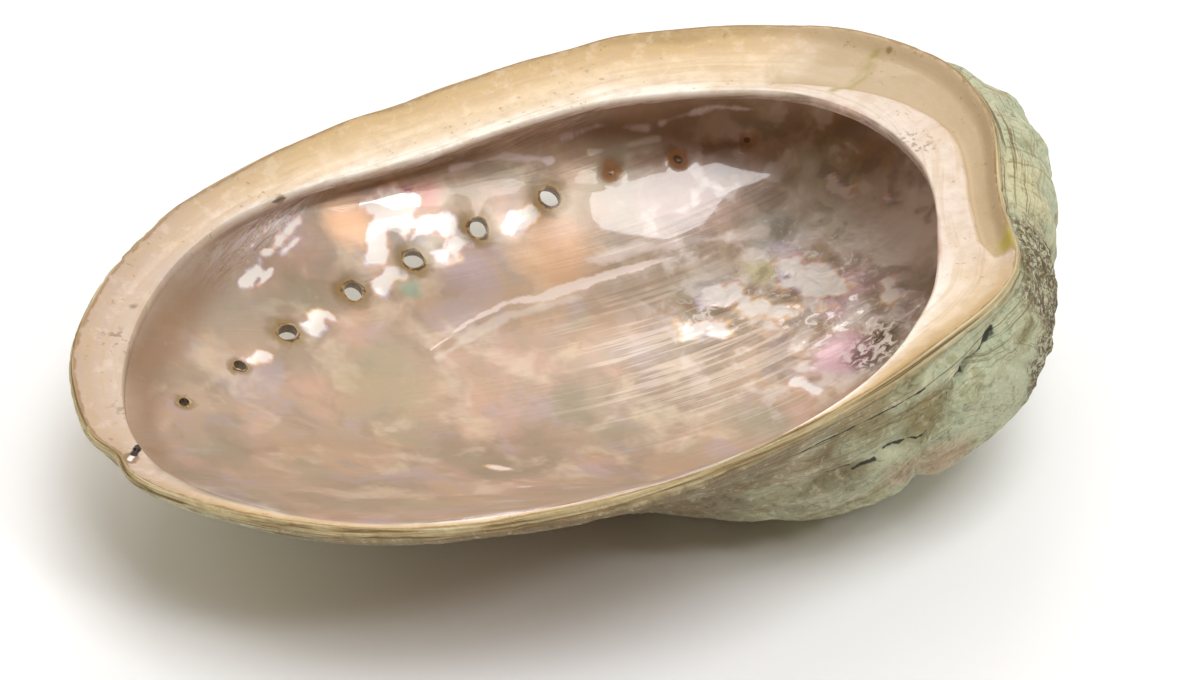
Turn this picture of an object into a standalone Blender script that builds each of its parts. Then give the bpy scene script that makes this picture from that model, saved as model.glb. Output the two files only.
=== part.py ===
# Abalone shell lying on its back, mouth up.
# One grown piece: a deep oval bowl with a thin outer lip, a flat inner shelf,
# a row of breathing pores and a low spire with growth ridges on the outside.

import math

import bmesh
import bpy
import numpy as np
from mathutils import Matrix, Vector

# Directions are in degrees, seen from above with the mouth up:
# 0 is the spire end, 90 the shelf side, 180 the front end and -90 the outer lip.
# Lengths are in metres. Each list is a smooth closed curve through (direction, value).
RIM_RADIUS = [
    (-170, 0.0812), (-157, 0.0764), (-138, 0.0703), (-118, 0.0645), (-98, 0.0623), (-80, 0.0621),
    (-62, 0.0654), (-49, 0.0700), (-37, 0.0751), (-23, 0.0740), (-8, 0.0782), (9, 0.0828),
    (25, 0.0799), (42, 0.0722), (60, 0.0645), (80, 0.0594), (97, 0.0588), (113, 0.0620),
    (130, 0.0694), (148, 0.0763), (168, 0.0815),
]
SHELF_WIDTH = [
    (-174, 0.0062), (-158, 0.0042), (-135, 0.0030), (-110, 0.0021), (-90, 0.0016), (-76, 0.0019),
    (-62, 0.0044), (-48, 0.0095), (-36, 0.0134), (-21, 0.0116), (-7, 0.0142), (6, 0.0184),
    (25, 0.0200), (38, 0.0197), (55, 0.0172), (80, 0.0155), (108, 0.0139), (127, 0.0100),
    (143, 0.0088), (165, 0.0086),
]
# Slope of the outside wall where it leaves the lip, in degrees: 90 is upright
WALL_SLOPE = [
    (-165, 36), (-130, 33), (-108, 34), (-92, 38), (-74, 66), (-55, 91), (-40, 103), (-26, 126),
    (-8, 149), (14, 151), (34, 122), (60, 92), (90, 80), (125, 66), (155, 48), (180, 40),
]
# How far the upper wall keeps that slope
WALL_REACH = [
    (-140, 0.020), (-95, 0.020), (-66, 0.025), (-40, 0.025), (-24, 0.031), (5, 0.040), (30, 0.031),
    (60, 0.022), (110, 0.020), (170, 0.020),
]
# Width of the flat of the base, as a share of the rim radius
BASE_SPREAD = [
    (-150, 0.36), (-112, 0.42), (-84, 0.64), (-60, 0.75), (-38, 0.64), (-20, 0.66), (5, 0.74), (30, 0.74),
    (60, 0.66), (100, 0.56), (150, 0.42),
]
LIP_THICKNESS = [(-150, 0.0028), (-90, 0.0030), (-45, 0.0024), (0, 0.0018), (90, 0.0018), (170, 0.0024)]
WALL_THICKNESS = [(-130, 0.0032), (-60, 0.0040), (0, 0.0070), (40, 0.0055), (90, 0.0042), (150, 0.0034)]
# Share of the wall's curve that the hollow below the shelf takes up
HOLLOW_SHARE = [
    (-172, 0.14), (-150, 0.09), (-90, 0.06), (-50, 0.12), (-20, 0.20), (30, 0.24), (90, 0.22), (130, 0.17),
    (155, 0.18),
]

DEPTH = 0.0385               # from the rim's plane to the middle of the base, outside
BASE_LEAN = 13.0             # degrees that the base slopes down towards the spire
LEAN_DIRECTION = -20.0
BASE_THICKNESS = 0.0040
SHELF_DROP = 0.0022          # how far the shelf's inner edge lies below the rim
SHELF_DISH = 0.0010          # hollow across the shelf
EDGE_DROP = 0.0014           # height of the shelf's blunt inner edge
EDGE_ROUNDING = 0.0004
WIDE_SHELF = (0.001, 0.009)  # widths between which the shelf gets its full drop and edge
DISHED_SHELF = (0.004, 0.012)
HOLLOW_BEND = 0.55           # how far the hollow below the shelf follows the wall
BOWL_BLEND = (0.45, 0.80)    # where the wall runs over into the smooth bowl of the base

# Round edge of the lip: how far it lies in from the rim at the bottom, its bulge, and at the top
LIP_BELOW = 0.0003
LIP_BULGE = 0.0005
LIP_ABOVE = 0.0009
LIP_WAVE = 0.0005            # unevenness of the grown lip, up and down
LIP_WAVE_OUT = 0.6           # the same outwards, as a share of it
LIP_WAVES = [(7, 0.6, 0.5), (13, 2.1, 0.3), (23, 4.0, 0.2)]     # number, start and share of each wave

# The spire on the underside, and the spiral that the shell grew by
SPIRE_CENTRE = (0.038, -0.028)
SPIRE_HEIGHT = 0.0060
SPIRE_WIDTH = 0.019
CORNER_DIRECTION = -38.0     # where the outer lip meets the spire
GROWTH_RATE = 0.366          # radius grows by e to this power for each radian
RIDGE_HEIGHT = 0.0007
RIDGES_PER_RADIAN = 4.0
SUTURE_DEPTH = 0.0016
SUTURE_WIDTH = 0.10

# Pores, from the closed ones by the spire to the notch in the lip:
# direction, share of the way from the shelf edge to the base, width, open or not
PORES = [
    (38.5, 0.345, 0.0032, False), (48.0, 0.375, 0.0034, False), (59.5, 0.375, 0.0034, False),
    (72.0, 0.410, 0.0036, True), (90.0, 0.430, 0.0036, True), (108.5, 0.445, 0.0036, True),
    (126.0, 0.450, 0.0036, True), (145.5, 0.420, 0.0034, True), (158.5, 0.365, 0.0026, True),
    (171.0, 0.255, 0.0022, True), (184.5, 0.030, 0.0018, True),
]
PORE_SIDES = 16
PORE_REACH = 0.007           # half the length of a pore's cutter
DIMPLE_DEPTH = 0.0012
MOUND_HEIGHT = 0.0022
MOUND_WIDTH = 0.0050
MOUND_REACH = 0.015          # a pore's mound stays on the wall that the pore goes through
NOTCH_DIRECTION = 185.5      # dent in the lip, beside the newest pore
NOTCH_WIDTH = 3.0
NOTCH_DEPTH = 0.0014

# Mesh rings from the outside of the base, over the lip, to the inside of the base
SEGMENTS = 100
OUTER_RINGS = 17
LIP_RINGS = 2
SHELF_RINGS = 5
HOLLOW_RINGS = 4
INNER_RINGS = 15

# How the shell lies: tipped until it rests on the worn patch under its base
TIP_ALONG = -5.4
TIP_ACROSS = -3.3
REST_HEIGHT = 0.0382         # from the middle of the mouth down to the surface it lies on

NACRE_COLOUR = (0.62, 0.52, 0.46, 1.0)
NACRE_ROUGHNESS = 0.25


def around(knots, direction):
    """Value of a smooth closed curve through (degrees, value) knots, at directions in radians."""
    angles = np.radians([knot[0] for knot in knots])
    values = np.array([knot[1] for knot in knots], dtype=float)
    order = np.argsort(angles)
    angles = angles[order]
    values = values[order]
    count = len(angles)
    after = np.append(angles[1:], angles[0] + math.tau)
    spans = after - angles
    before_spans = np.roll(spans, 1)
    rises = (np.roll(values, -1) - values) / spans
    system = np.zeros((count, count))
    right_side = np.zeros(count)
    for i in range(count):
        system[i, i - 1] += before_spans[i]
        system[i, i] += 2 * (before_spans[i] + spans[i])
        system[i, (i + 1) % count] += spans[i]
        right_side[i] = 6 * (rises[i] - rises[i - 1])
    bends = np.linalg.solve(system, right_side)
    turned = (np.asarray(direction, dtype=float) - angles[0]) % math.tau + angles[0]
    place = np.clip(np.searchsorted(angles, turned, side="right") - 1, 0, count - 1)
    span = spans[place]
    to_next = after[place] - turned
    from_last = turned - angles[place]
    last_bend = bends[place]
    next_bend = np.roll(bends, -1)[place]
    last_value = values[place]
    next_value = np.roll(values, -1)[place]
    return (
        last_bend * to_next**3 / (6 * span)
        + next_bend * from_last**3 / (6 * span)
        + (last_value / span - last_bend * span / 6) * to_next
        + (next_value / span - next_bend * span / 6) * from_last
    )


def smooth_step(low, high, value):
    """0 below low, 1 above high, and a smooth rise between them."""
    share = np.clip((value - low) / (high - low), 0.0, 1.0)
    return share * share * (3 - 2 * share)


def lip_radius(direction):
    """Radius of the lip, with its uneven growth and the dent beside the newest pore."""
    away = np.degrees(np.angle(np.exp(1j * (direction - math.radians(NOTCH_DIRECTION)))))
    dent = NOTCH_DEPTH * np.exp(-(away / NOTCH_WIDTH) ** 2)
    return around(RIM_RADIUS, direction) + LIP_WAVE_OUT * lip_wave(direction) - dent


def lip_wave(direction):
    """Uneven growth along the lip, as a height in metres."""
    return LIP_WAVE * sum(share * np.sin(number * direction + start) for number, start, share in LIP_WAVES)


def spot(direction, radius, height):
    """Place at a direction, a radius and a height."""
    return np.array([radius * np.cos(direction), radius * np.sin(direction), height + 0 * radius])


def drawn_wall(direction, share):
    """Outside wall as drawn by its slopes, from the lip (share 0) to the base (share 1)."""
    rim = lip_radius(direction)
    slope = np.radians(around(WALL_SLOPE, direction))
    reach = around(WALL_REACH, direction)
    spread = around(BASE_SPREAD, direction) * rim
    lean = math.tan(math.radians(BASE_LEAN)) * np.cos(direction - math.radians(LEAN_DIRECTION))
    start = spot(direction, rim - LIP_BELOW, -around(LIP_THICKNESS, direction))
    shoulder = start - spot(direction, reach * np.cos(slope), reach * np.sin(slope))
    turn = spot(direction, spread, -DEPTH - lean * spread)
    base = spot(direction, 0 * rim, -DEPTH)
    rest = 1 - share
    return rest**3 * start + 3 * rest**2 * share * shoulder + 3 * rest * share**2 * turn + share**3 * base


def bowl_terms(place):
    """Powers of x and y up to the fourth."""
    across = place[0] / DEPTH
    along = place[1] / DEPTH
    return np.array([across**i * along**j for i in range(5) for j in range(5 - i)])


def fit_bowl():
    """Smooth bowl through the lower wall, for the middle of the base."""
    direction, share = np.meshgrid(np.radians(np.arange(0, 360, 5)), np.linspace(0.5, 0.8, 13))
    place = drawn_wall(direction.ravel(), share.ravel())
    return np.linalg.lstsq(bowl_terms(place).T, place[2], rcond=None)[0]


def outer_wall(direction, share):
    """Outside wall, with no ridges, from the lip (share 0) to the base (share 1)."""
    place = drawn_wall(direction, share)
    smooth = np.tensordot(BOWL, bowl_terms(place), axes=1)
    blend = smooth_step(*BOWL_BLEND, share)
    return np.array([place[0], place[1], place[2] * (1 - blend) + smooth * blend])


def inward_normal(direction, share):
    """Direction across the wall, from the outside to the inside."""
    near = np.clip(share, 0.002, 0.98)
    down = outer_wall(direction, near + 0.002) - outer_wall(direction, near - 0.002)
    turn = outer_wall(direction + 0.01, near) - outer_wall(direction - 0.01, near)
    normal = np.cross(turn, down, axis=0)
    return normal / np.linalg.norm(normal, axis=0)


def wall_inside(direction, share):
    """Inside wall: the outside wall moved in by the shell's thickness."""
    thickness = around(WALL_THICKNESS, direction) * (1 - share) + BASE_THICKNESS * share
    return outer_wall(direction, share) + thickness * inward_normal(direction, share)


def shelf_edge(direction):
    """Inner edge of the shelf."""
    width = around(SHELF_WIDTH, direction)
    drop = EDGE_ROUNDING + SHELF_DROP * smooth_step(*WIDE_SHELF, width)
    return spot(direction, around(RIM_RADIUS, direction) - width, -drop)


def inner_curve(direction, share):
    """Inside of the bowl, from below the shelf's edge (share 0) to the middle of the base (share 1)."""
    split = around(HOLLOW_SHARE, direction)
    blunt = EDGE_ROUNDING + EDGE_DROP * smooth_step(*WIDE_SHELF, around(SHELF_WIDTH, direction))
    top = shelf_edge(direction) - spot(direction, 0 * split, blunt)
    joint = wall_inside(direction, split)
    run = wall_inside(direction, split + 0.01) - joint
    run = run / np.linalg.norm(run, axis=0)
    bend = joint - HOLLOW_BEND * np.linalg.norm(top - joint, axis=0) * run
    part = np.clip(share / split, 0.0, 1.0)
    hollow = (1 - part)**2 * top + 2 * part * (1 - part) * bend + part**2 * joint
    return np.where(share < split, hollow, wall_inside(direction, np.maximum(share, split)))


def lip_curve(direction, share):
    """Round edge of the lip, from the outside wall (share 0) to the top of the shelf (share 1)."""
    rim = lip_radius(direction)
    lip = around(LIP_THICKNESS, direction)
    low = spot(direction, rim - LIP_BELOW, -lip)
    out = spot(direction, rim + LIP_BULGE, -lip / 4)
    top = spot(direction, rim - LIP_ABOVE, lip_wave(direction))
    rest = 1 - share
    return rest**2 * low + 2 * rest * share * out + share**2 * top


def shelf_curve(direction, share):
    """Top of the shelf, from the lip (share 0) to its inner edge (share 1)."""
    start = lip_curve(direction, 1.0)
    end = shelf_edge(direction)
    dish = SHELF_DISH * smooth_step(*DISHED_SHELF, around(SHELF_WIDTH, direction)) * math.sin(math.pi * share)
    return start + (end - start) * share - spot(direction, 0 * dish, dish)


def unrolled(direction, share):
    """Place on the outside wall, laid out flat so that the lip keeps its outline."""
    radius = around(RIM_RADIUS, direction) * (1 - share)
    return np.array([radius * np.cos(direction), radius * np.sin(direction)])


def lip_distance(angle):
    """Distance from the spire's centre to the lip, in the direction of an angle about the spire."""
    directions = np.linspace(-math.pi, math.pi, 721)
    rim = around(RIM_RADIUS, directions)
    across = rim * np.cos(directions) - SPIRE_CENTRE[0]
    along = rim * np.sin(directions) - SPIRE_CENTRE[1]
    angles = np.unwrap(np.arctan2(along, across))
    distances = np.hypot(across, along)
    start = angles[0]
    return np.interp((angle - start) % math.tau + start, angles, distances)


def growth_age(place):
    """How long ago, in radians of growth, each place on the outside was at the lip."""
    across = place[0] - SPIRE_CENTRE[0]
    along = place[1] - SPIRE_CENTRE[1]
    distance = np.maximum(np.hypot(across, along), 0.0008)
    angle = np.arctan2(along, across)
    age = np.full(distance.shape, np.nan)
    step = 0.04
    gap_before = distance - lip_distance(angle)
    for i in range(1, 320):
        grown = distance * math.exp(GROWTH_RATE * i * step)
        gap = grown - lip_distance(angle + i * step)
        crossed = np.isnan(age) & (gap >= 0) & (gap_before < 0)
        share = gap_before / np.where(crossed, gap_before - gap, 1.0)
        age = np.where(crossed, (i - 1 + share) * step, age)
        gap_before = gap
    return np.nan_to_num(age, nan=0.0)


def outer_relief(direction, share):
    """Height of the ridges, spire and spiral seam on the outside."""
    place = unrolled(direction, share)
    across = place[0] - SPIRE_CENTRE[0]
    along = place[1] - SPIRE_CENTRE[1]
    distance = np.hypot(across, along) + 1e-5
    angle = np.arctan2(along, across)
    corner_radius = around(RIM_RADIUS, math.radians(CORNER_DIRECTION))
    corner = np.array([
        corner_radius * math.cos(math.radians(CORNER_DIRECTION)) - SPIRE_CENTRE[0],
        corner_radius * math.sin(math.radians(CORNER_DIRECTION)) - SPIRE_CENTRE[1],
    ])
    turn = (angle - math.atan2(corner[1], corner[0])) % math.tau - math.tau
    seam = np.hypot(*corner) * np.exp(GROWTH_RATE * turn)
    whorl = np.log(distance / seam)
    groove = SUTURE_DEPTH * np.exp(-(whorl / SUTURE_WIDTH) ** 2) * smooth_step(0.0, 0.004, distance)
    spire = SPIRE_HEIGHT * np.exp(-(distance / SPIRE_WIDTH) ** 2)
    age = growth_age(place)
    ridge = RIDGE_HEIGHT * (
        np.sin(RIDGES_PER_RADIAN * age * math.tau)
        + 0.5 * np.sin(0.43 * RIDGES_PER_RADIAN * age * math.tau + 1.0)
    )
    fade = smooth_step(0.0, 0.06, share) * smooth_step(0.003, 0.012, distance)
    return spire - groove + ridge * fade


def resting_up():
    """Upward direction of the surface that the shell lies on, in the shell's own frame."""
    return np.array(rest_turn().inverted().to_3x3() @ Vector((0.0, 0.0, 1.0)))


def worn_flat(place):
    """Places on the outside, with what lies below the resting surface worn down to it."""
    up = resting_up()
    below = np.minimum(up @ place + REST_HEIGHT, 0.0)
    return place - up[:, None] * below


def pore_frames():
    """Centre and outward axis of each pore, on the inside of the bowl."""
    frames = []
    for degrees, share, width, is_open in PORES:
        direction = np.array([math.radians(degrees)])
        centre = inner_curve(direction, np.array([share]))[:, 0]
        axis = -inward_normal(direction, np.array([share]))[:, 0]
        frames.append((Vector(centre), Vector(axis), width, is_open))
    return frames


def shell_mesh():
    """Closed shell: the rings of a sphere laid out along the shell's profile."""
    rings = OUTER_RINGS + LIP_RINGS + SHELF_RINGS + HOLLOW_RINGS + INNER_RINGS
    mesh = bmesh.new()
    bmesh.ops.create_uvsphere(mesh, u_segments=SEGMENTS, v_segments=rings, radius=1.0)
    vertices = list(mesh.verts)
    sphere = np.array([vertex.co[:] for vertex in vertices])
    direction = np.arctan2(sphere[:, 1], sphere[:, 0])
    ring = np.rint((math.pi - np.arccos(np.clip(sphere[:, 2], -1, 1))) / math.pi * rings).astype(int)

    place = np.zeros((3, len(vertices)))
    outer = ring <= OUTER_RINGS
    share = 1 - ring[outer] / OUTER_RINGS
    relief = outer_relief(direction[outer], share)
    raised = outer_wall(direction[outer], share) - relief * inward_normal(direction[outer], share)
    place[:, outer] = worn_flat(raised)

    low = OUTER_RINGS
    for i in range(1, LIP_RINGS + 1):
        on_ring = ring == low + i
        place[:, on_ring] = lip_curve(direction[on_ring], i / LIP_RINGS)
    low += LIP_RINGS
    for i in range(1, SHELF_RINGS + 1):
        on_ring = ring == low + i
        place[:, on_ring] = shelf_curve(direction[on_ring], i / SHELF_RINGS)
    low += SHELF_RINGS
    for i in range(1, HOLLOW_RINGS + INNER_RINGS + 1):
        on_ring = ring == low + i
        split = around(HOLLOW_SHARE, direction[on_ring])
        if i <= HOLLOW_RINGS:
            share = split * (i - 1) / (HOLLOW_RINGS - 1)
        else:
            share = split + (1 - split) * (i - HOLLOW_RINGS) / INNER_RINGS
        place[:, on_ring] = inner_curve(direction[on_ring], share)

    place = place.T
    for centre, axis, _width, _is_open in pore_frames():
        offset = place - np.array(centre)
        along = offset @ np.array(axis)
        away = np.linalg.norm(offset - along[:, None] * np.array(axis), axis=1)
        near = outer & (np.abs(along) < MOUND_REACH)
        mound = MOUND_HEIGHT * np.exp(-(away / MOUND_WIDTH) ** 2) * near
        place = place + mound[:, None] * np.array(axis)
    for vertex, where in zip(vertices, place):
        vertex.co = Vector(where)
    return mesh


def rest_turn():
    """Rotation from the shell's own frame to how it lies."""
    along = Matrix.Rotation(math.radians(TIP_ALONG), 4, "Y")
    across = Matrix.Rotation(math.radians(TIP_ACROSS), 4, "X")
    return across @ along


def make_collection(name):
    collection = bpy.data.collections.new(name)
    bpy.context.scene.collection.children.link(collection)
    return collection


def make_material():
    material = bpy.data.materials.new("nacre")
    material.use_nodes = True
    shader = material.node_tree.nodes["Principled BSDF"]
    shader.inputs["Base Color"].default_value = NACRE_COLOUR
    shader.inputs["Roughness"].default_value = NACRE_ROUGHNESS
    shader.inputs["Metallic"].default_value = 0.0
    return material


def pore_cutter(name, centre, axis, width, is_open, collection):
    """Round cutter across the wall, or a shallow one where the pore has closed."""
    mesh = bmesh.new()
    reach = PORE_REACH if is_open else DIMPLE_DEPTH
    bmesh.ops.create_cone(
        mesh, cap_ends=True, segments=PORE_SIDES, radius1=width / 2, radius2=width / 2, depth=2 * reach
    )
    data = bpy.data.meshes.new(name)
    mesh.to_mesh(data)
    mesh.free()
    cutter = bpy.data.objects.new(name, data)
    cutter.matrix_world = Matrix.Translation(centre) @ axis.to_track_quat("Z", "Y").to_matrix().to_4x4()
    cutter.hide_render = True
    cutter.display_type = "WIRE"
    collection.objects.link(cutter)
    return cutter


BOWL = fit_bowl()


def main():
    for leftover in list(bpy.data.objects):
        bpy.data.objects.remove(leftover, do_unlink=True)
    parts = make_collection("abalone_shell")
    cutters = make_collection("cutters")

    mesh = shell_mesh()
    data = bpy.data.meshes.new("shell")
    mesh.to_mesh(data)
    mesh.free()
    data.shade_smooth()
    data.materials.append(make_material())
    shell = bpy.data.objects.new("shell", data)
    parts.objects.link(shell)

    turn = rest_turn()
    corners = np.array([(turn @ vertex.co)[:] for vertex in data.vertices])
    low = corners.min(axis=0)
    high = corners.max(axis=0)
    move = Matrix.Translation((-(low[0] + high[0]) / 2, -(low[1] + high[1]) / 2, -low[2]))
    turn = move @ turn
    for number, (centre, axis, width, is_open) in enumerate(pore_frames(), start=1):
        cutter = pore_cutter(f"pore_{number}", centre, axis, width, is_open, cutters)
        cutter.matrix_world = turn @ cutter.matrix_world
        cut = shell.modifiers.new(cutter.name, "BOOLEAN")
        cut.operation = "DIFFERENCE"
        cut.solver = "EXACT"
        cut.object = cutter
    shell.matrix_world = turn


main()
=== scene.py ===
import math

import bmesh
import bpy
import numpy as np
from mathutils import Matrix, Vector, noise


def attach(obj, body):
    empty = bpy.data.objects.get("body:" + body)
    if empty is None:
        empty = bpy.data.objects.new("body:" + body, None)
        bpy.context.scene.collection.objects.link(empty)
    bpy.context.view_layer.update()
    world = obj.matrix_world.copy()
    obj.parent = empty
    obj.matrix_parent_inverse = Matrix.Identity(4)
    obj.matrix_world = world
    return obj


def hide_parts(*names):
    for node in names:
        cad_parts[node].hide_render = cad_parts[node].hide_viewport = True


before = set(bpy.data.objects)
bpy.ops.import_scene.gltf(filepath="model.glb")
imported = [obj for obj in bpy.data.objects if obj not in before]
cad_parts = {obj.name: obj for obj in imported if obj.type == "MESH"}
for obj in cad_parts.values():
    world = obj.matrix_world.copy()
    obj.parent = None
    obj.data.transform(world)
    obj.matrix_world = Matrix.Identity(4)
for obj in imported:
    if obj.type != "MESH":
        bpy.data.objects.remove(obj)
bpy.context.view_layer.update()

# An empty abalone shell lying on its back: one grown piece with a glossy nacre bowl,
# a cream shelf, a row of breathing pores and a weathered, ridged outside.
# Directions are in degrees seen from above: 0 is the spire end, 90 the shelf side,
# 180 the front end and -90 the outer lip. Lengths are in metres.

mouth = {
    "rimRadius": [
        (-170, 0.0812), (-157, 0.0764), (-138, 0.0703), (-118, 0.0645), (-98, 0.0623), (-80, 0.0621),
        (-62, 0.0654), (-49, 0.0700), (-37, 0.0751), (-23, 0.0740), (-8, 0.0782), (9, 0.0828),
        (25, 0.0799), (42, 0.0722), (60, 0.0645), (80, 0.0594), (97, 0.0588), (113, 0.0620),
        (130, 0.0694), (148, 0.0763), (168, 0.0815),
    ],
    "lipThickness": [(-150, 0.0024), (-90, 0.0030), (-45, 0.0024), (0, 0.0018), (90, 0.0018), (170, 0.0017)],
    "lipBelow": 0.0003,
    "lipBulge": 0.0005,
    "lipAbove": 0.0009,
    "waveHeight": 0.0005,
    "waveOut": 0.6,
    "waves": [(7, 0.6, 0.5), (13, 2.1, 0.3), (23, 4.0, 0.2)],
    "chipDepth": 0.0005,         # small chips along the thin edge
    "chipSize": 0.0025,
    "notchDirection": 185.5,
    "notchWidth": 3.0,
    "notchDepth": 0.0014,
}

shelf = {
    "width": [
        (-174, 0.0062), (-158, 0.0042), (-135, 0.0030), (-110, 0.0021), (-90, 0.0016), (-76, 0.0019),
        (-62, 0.0044), (-48, 0.0095), (-36, 0.0134), (-21, 0.0116), (-7, 0.0142), (6, 0.0184),
        (25, 0.0200), (38, 0.0197), (55, 0.0172), (80, 0.0155), (108, 0.0139), (127, 0.0100),
        (143, 0.0088), (165, 0.0086),
    ],
    "wideFrom": (0.001, 0.009),
    "dishedFrom": (0.004, 0.012),
    "drop": 0.0022,
    "dish": 0.0010,
    "edgeDrop": 0.0014,
    "edgeRounding": 0.0004,
    "hollowShare": [
        (-172, 0.14), (-150, 0.09), (-90, 0.06), (-50, 0.12), (-20, 0.20), (30, 0.24), (90, 0.22),
        (130, 0.17), (155, 0.18),
    ],
    "hollowBend": 0.55,
}

wall = {
    "slope": [
        (-165, 36), (-130, 33), (-108, 34), (-92, 38), (-74, 66), (-55, 91), (-40, 103), (-26, 126),
        (-8, 149), (14, 151), (34, 122), (60, 92), (90, 80), (125, 66), (155, 48), (180, 40),
    ],
    "reach": [
        (-140, 0.020), (-95, 0.020), (-66, 0.025), (-40, 0.025), (-24, 0.031), (5, 0.040), (30, 0.031),
        (60, 0.022), (110, 0.020), (170, 0.020),
    ],
    "baseSpread": [
        (-150, 0.36), (-112, 0.42), (-84, 0.64), (-60, 0.75), (-38, 0.64), (-20, 0.66), (5, 0.74), (30, 0.74),
        (60, 0.66), (100, 0.56), (150, 0.42),
    ],
    "thickness": [(-130, 0.0032), (-60, 0.0040), (0, 0.0070), (40, 0.0055), (90, 0.0042), (150, 0.0034)],
    "baseThickness": 0.0040,
    "depth": 0.0385,
    "baseLean": 13.0,
    "leanDirection": -20.0,
    "bowlBlend": (0.45, 0.80),
}

growth = {
    "spireCentre": (0.038, -0.028),
    "spireHeight": 0.0060,
    "spireWidth": 0.019,
    "cornerDirection": -38,
    "rate": 0.366,
    "ridgeHeight": 0.0007,
    "ridgesPerRadian": 4.0,
    "sutureDepth": 0.0016,
    "sutureWidth": 0.10,
}

pores = {
    # direction, share of the way from the shelf edge to the base, width, open or not
    "row": [
        (38.5, 0.345, 0.0032, False), (48.0, 0.375, 0.0034, False), (59.5, 0.375, 0.0034, False),
        (72.0, 0.410, 0.0036, True), (90.0, 0.430, 0.0036, True), (108.5, 0.445, 0.0036, True),
        (126.0, 0.450, 0.0036, True), (145.5, 0.420, 0.0034, True), (158.5, 0.365, 0.0022, True),
        (171.0, 0.255, 0.0019, True), (184.5, 0.030, 0.0018, True),
    ],
    "sides": 40,
    "reach": 0.007,
    "dimpleDepth": 0.0010,
    "dimpleWidth": 0.0014,
    "clear": 0.98,
    "lastClear": 0.55,
    "oval": 0.84,
    "turn": 1.3,                 # from one pore to the next, in radians
    "flare": 1.25,               # the pores widen towards the outside
    "slant": (0.33, 0.70, -0.63),
    "slantShare": 0.62,
    "lastSlantShare": -0.8,
    "moundHeight": 0.0022,
    "moundWidth": 0.0050,
    "moundReach": 0.015,
    "craterDepth": 0.0004,       # the nacre sinks a little towards each pore
    "craterWidth": 0.0034,
}

# The newest pore is still a notch in the lip
notch = {
    "pit": (-0.0763, -0.0070, -0.0018),
    # the dark line is painted shade deep in the pit; the slot gets a pale line of painted floor light seen
    # through it
    "dark": [(-0.0757, -0.0060, -0.0019), (-0.0771, -0.0083, -0.0014)],
    "slot": [(-0.0775, -0.0089, -0.0012), (-0.0782, -0.0098, -0.0008)],
}

# How the shell lies, and where the middle of its mouth is in the frame
rest = {"tipAlong": -5.4, "tipAcross": -3.3, "mouthCentre": (-0.00637, 0.001787, 0.0382)}

mesh = {
    "segments": 490,
    "outerRings": 58,
    "lipRings": 8,
    "shelfRings": 26,
    "hollowRings": 20,
    "innerRings": 86,
    "lastShare": 0.995,          # the rings stop just short of the middle of the base
}


# Shape of the shell

def around(knots, direction):
    # Smooth closed curve through knots of direction and value
    angles = np.radians([knot[0] for knot in knots])
    values = np.array([knot[1] for knot in knots], dtype=float)
    order = np.argsort(angles)
    angles = angles[order]
    values = values[order]
    count = len(angles)
    after = np.append(angles[1:], angles[0] + math.tau)
    spans = after - angles
    rises = (np.roll(values, -1) - values) / spans
    system = np.zeros((count, count))
    rightSide = np.zeros(count)
    for i in range(count):
        system[i, i - 1] += spans[i - 1]
        system[i, i] += 2 * (spans[i - 1] + spans[i])
        system[i, (i + 1) % count] += spans[i]
        rightSide[i] = 6 * (rises[i] - rises[i - 1])
    bends = np.linalg.solve(system, rightSide)
    turned = (np.asarray(direction, dtype=float) - angles[0]) % math.tau + angles[0]
    place = np.clip(np.searchsorted(angles, turned, side="right") - 1, 0, count - 1)
    span = spans[place]
    toNext = after[place] - turned
    fromLast = turned - angles[place]
    nextBend = np.roll(bends, -1)[place]
    nextValue = np.roll(values, -1)[place]
    return (
        bends[place] * toNext**3 / (6 * span)
        + nextBend * fromLast**3 / (6 * span)
        + (values[place] / span - bends[place] * span / 6) * toNext
        + (nextValue / span - nextBend * span / 6) * fromLast
    )


def smoothStep(low, high, value):
    share = np.clip((value - low) / (high - low), 0.0, 1.0)
    return share * share * (3 - 2 * share)


def hump(gap, width):
    return np.exp(-(gap / width) ** 2)


def between(knots, value, column=1, period=None):
    return np.interp(value, [knot[0] for knot in knots], [knot[column] for knot in knots], period=period)


def spot(direction, radius, height):
    return np.array([radius * np.cos(direction), radius * np.sin(direction), height + 0 * radius])


def lipWave(direction):
    return mouth["waveHeight"] * sum(
        share * np.sin(number * direction + start) for number, start, share in mouth["waves"]
    )


def lipRadius(direction):
    away = np.degrees(np.angle(np.exp(1j * (direction - math.radians(mouth["notchDirection"])))))
    dent = mouth["notchDepth"] * hump(away, mouth["notchWidth"])
    return around(mouth["rimRadius"], direction) + mouth["waveOut"] * lipWave(direction) - dent


def drawnWall(direction, share):
    rim = lipRadius(direction)
    slope = np.radians(around(wall["slope"], direction))
    reach = around(wall["reach"], direction)
    spread = around(wall["baseSpread"], direction) * rim
    lean = math.tan(math.radians(wall["baseLean"])) * np.cos(direction - math.radians(wall["leanDirection"]))
    start = spot(direction, rim - mouth["lipBelow"], -around(mouth["lipThickness"], direction))
    shoulder = start - spot(direction, reach * np.cos(slope), reach * np.sin(slope))
    turn = spot(direction, spread, -wall["depth"] - lean * spread)
    base = spot(direction, 0 * rim, -wall["depth"])
    left = 1 - share
    return left**3 * start + 3 * left**2 * share * shoulder + 3 * left * share**2 * turn + share**3 * base


def bowlTerms(place):
    across = place[0] / wall["depth"]
    along = place[1] / wall["depth"]
    return np.array([across**i * along**j for i in range(5) for j in range(5 - i)])


def fitBowl():
    direction, share = np.meshgrid(np.radians(np.arange(0, 360, 5)), np.linspace(0.5, 0.8, 13))
    place = drawnWall(direction.ravel(), share.ravel())
    return np.linalg.lstsq(bowlTerms(place).T, place[2], rcond=None)[0]


bowl = fitBowl()


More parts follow.
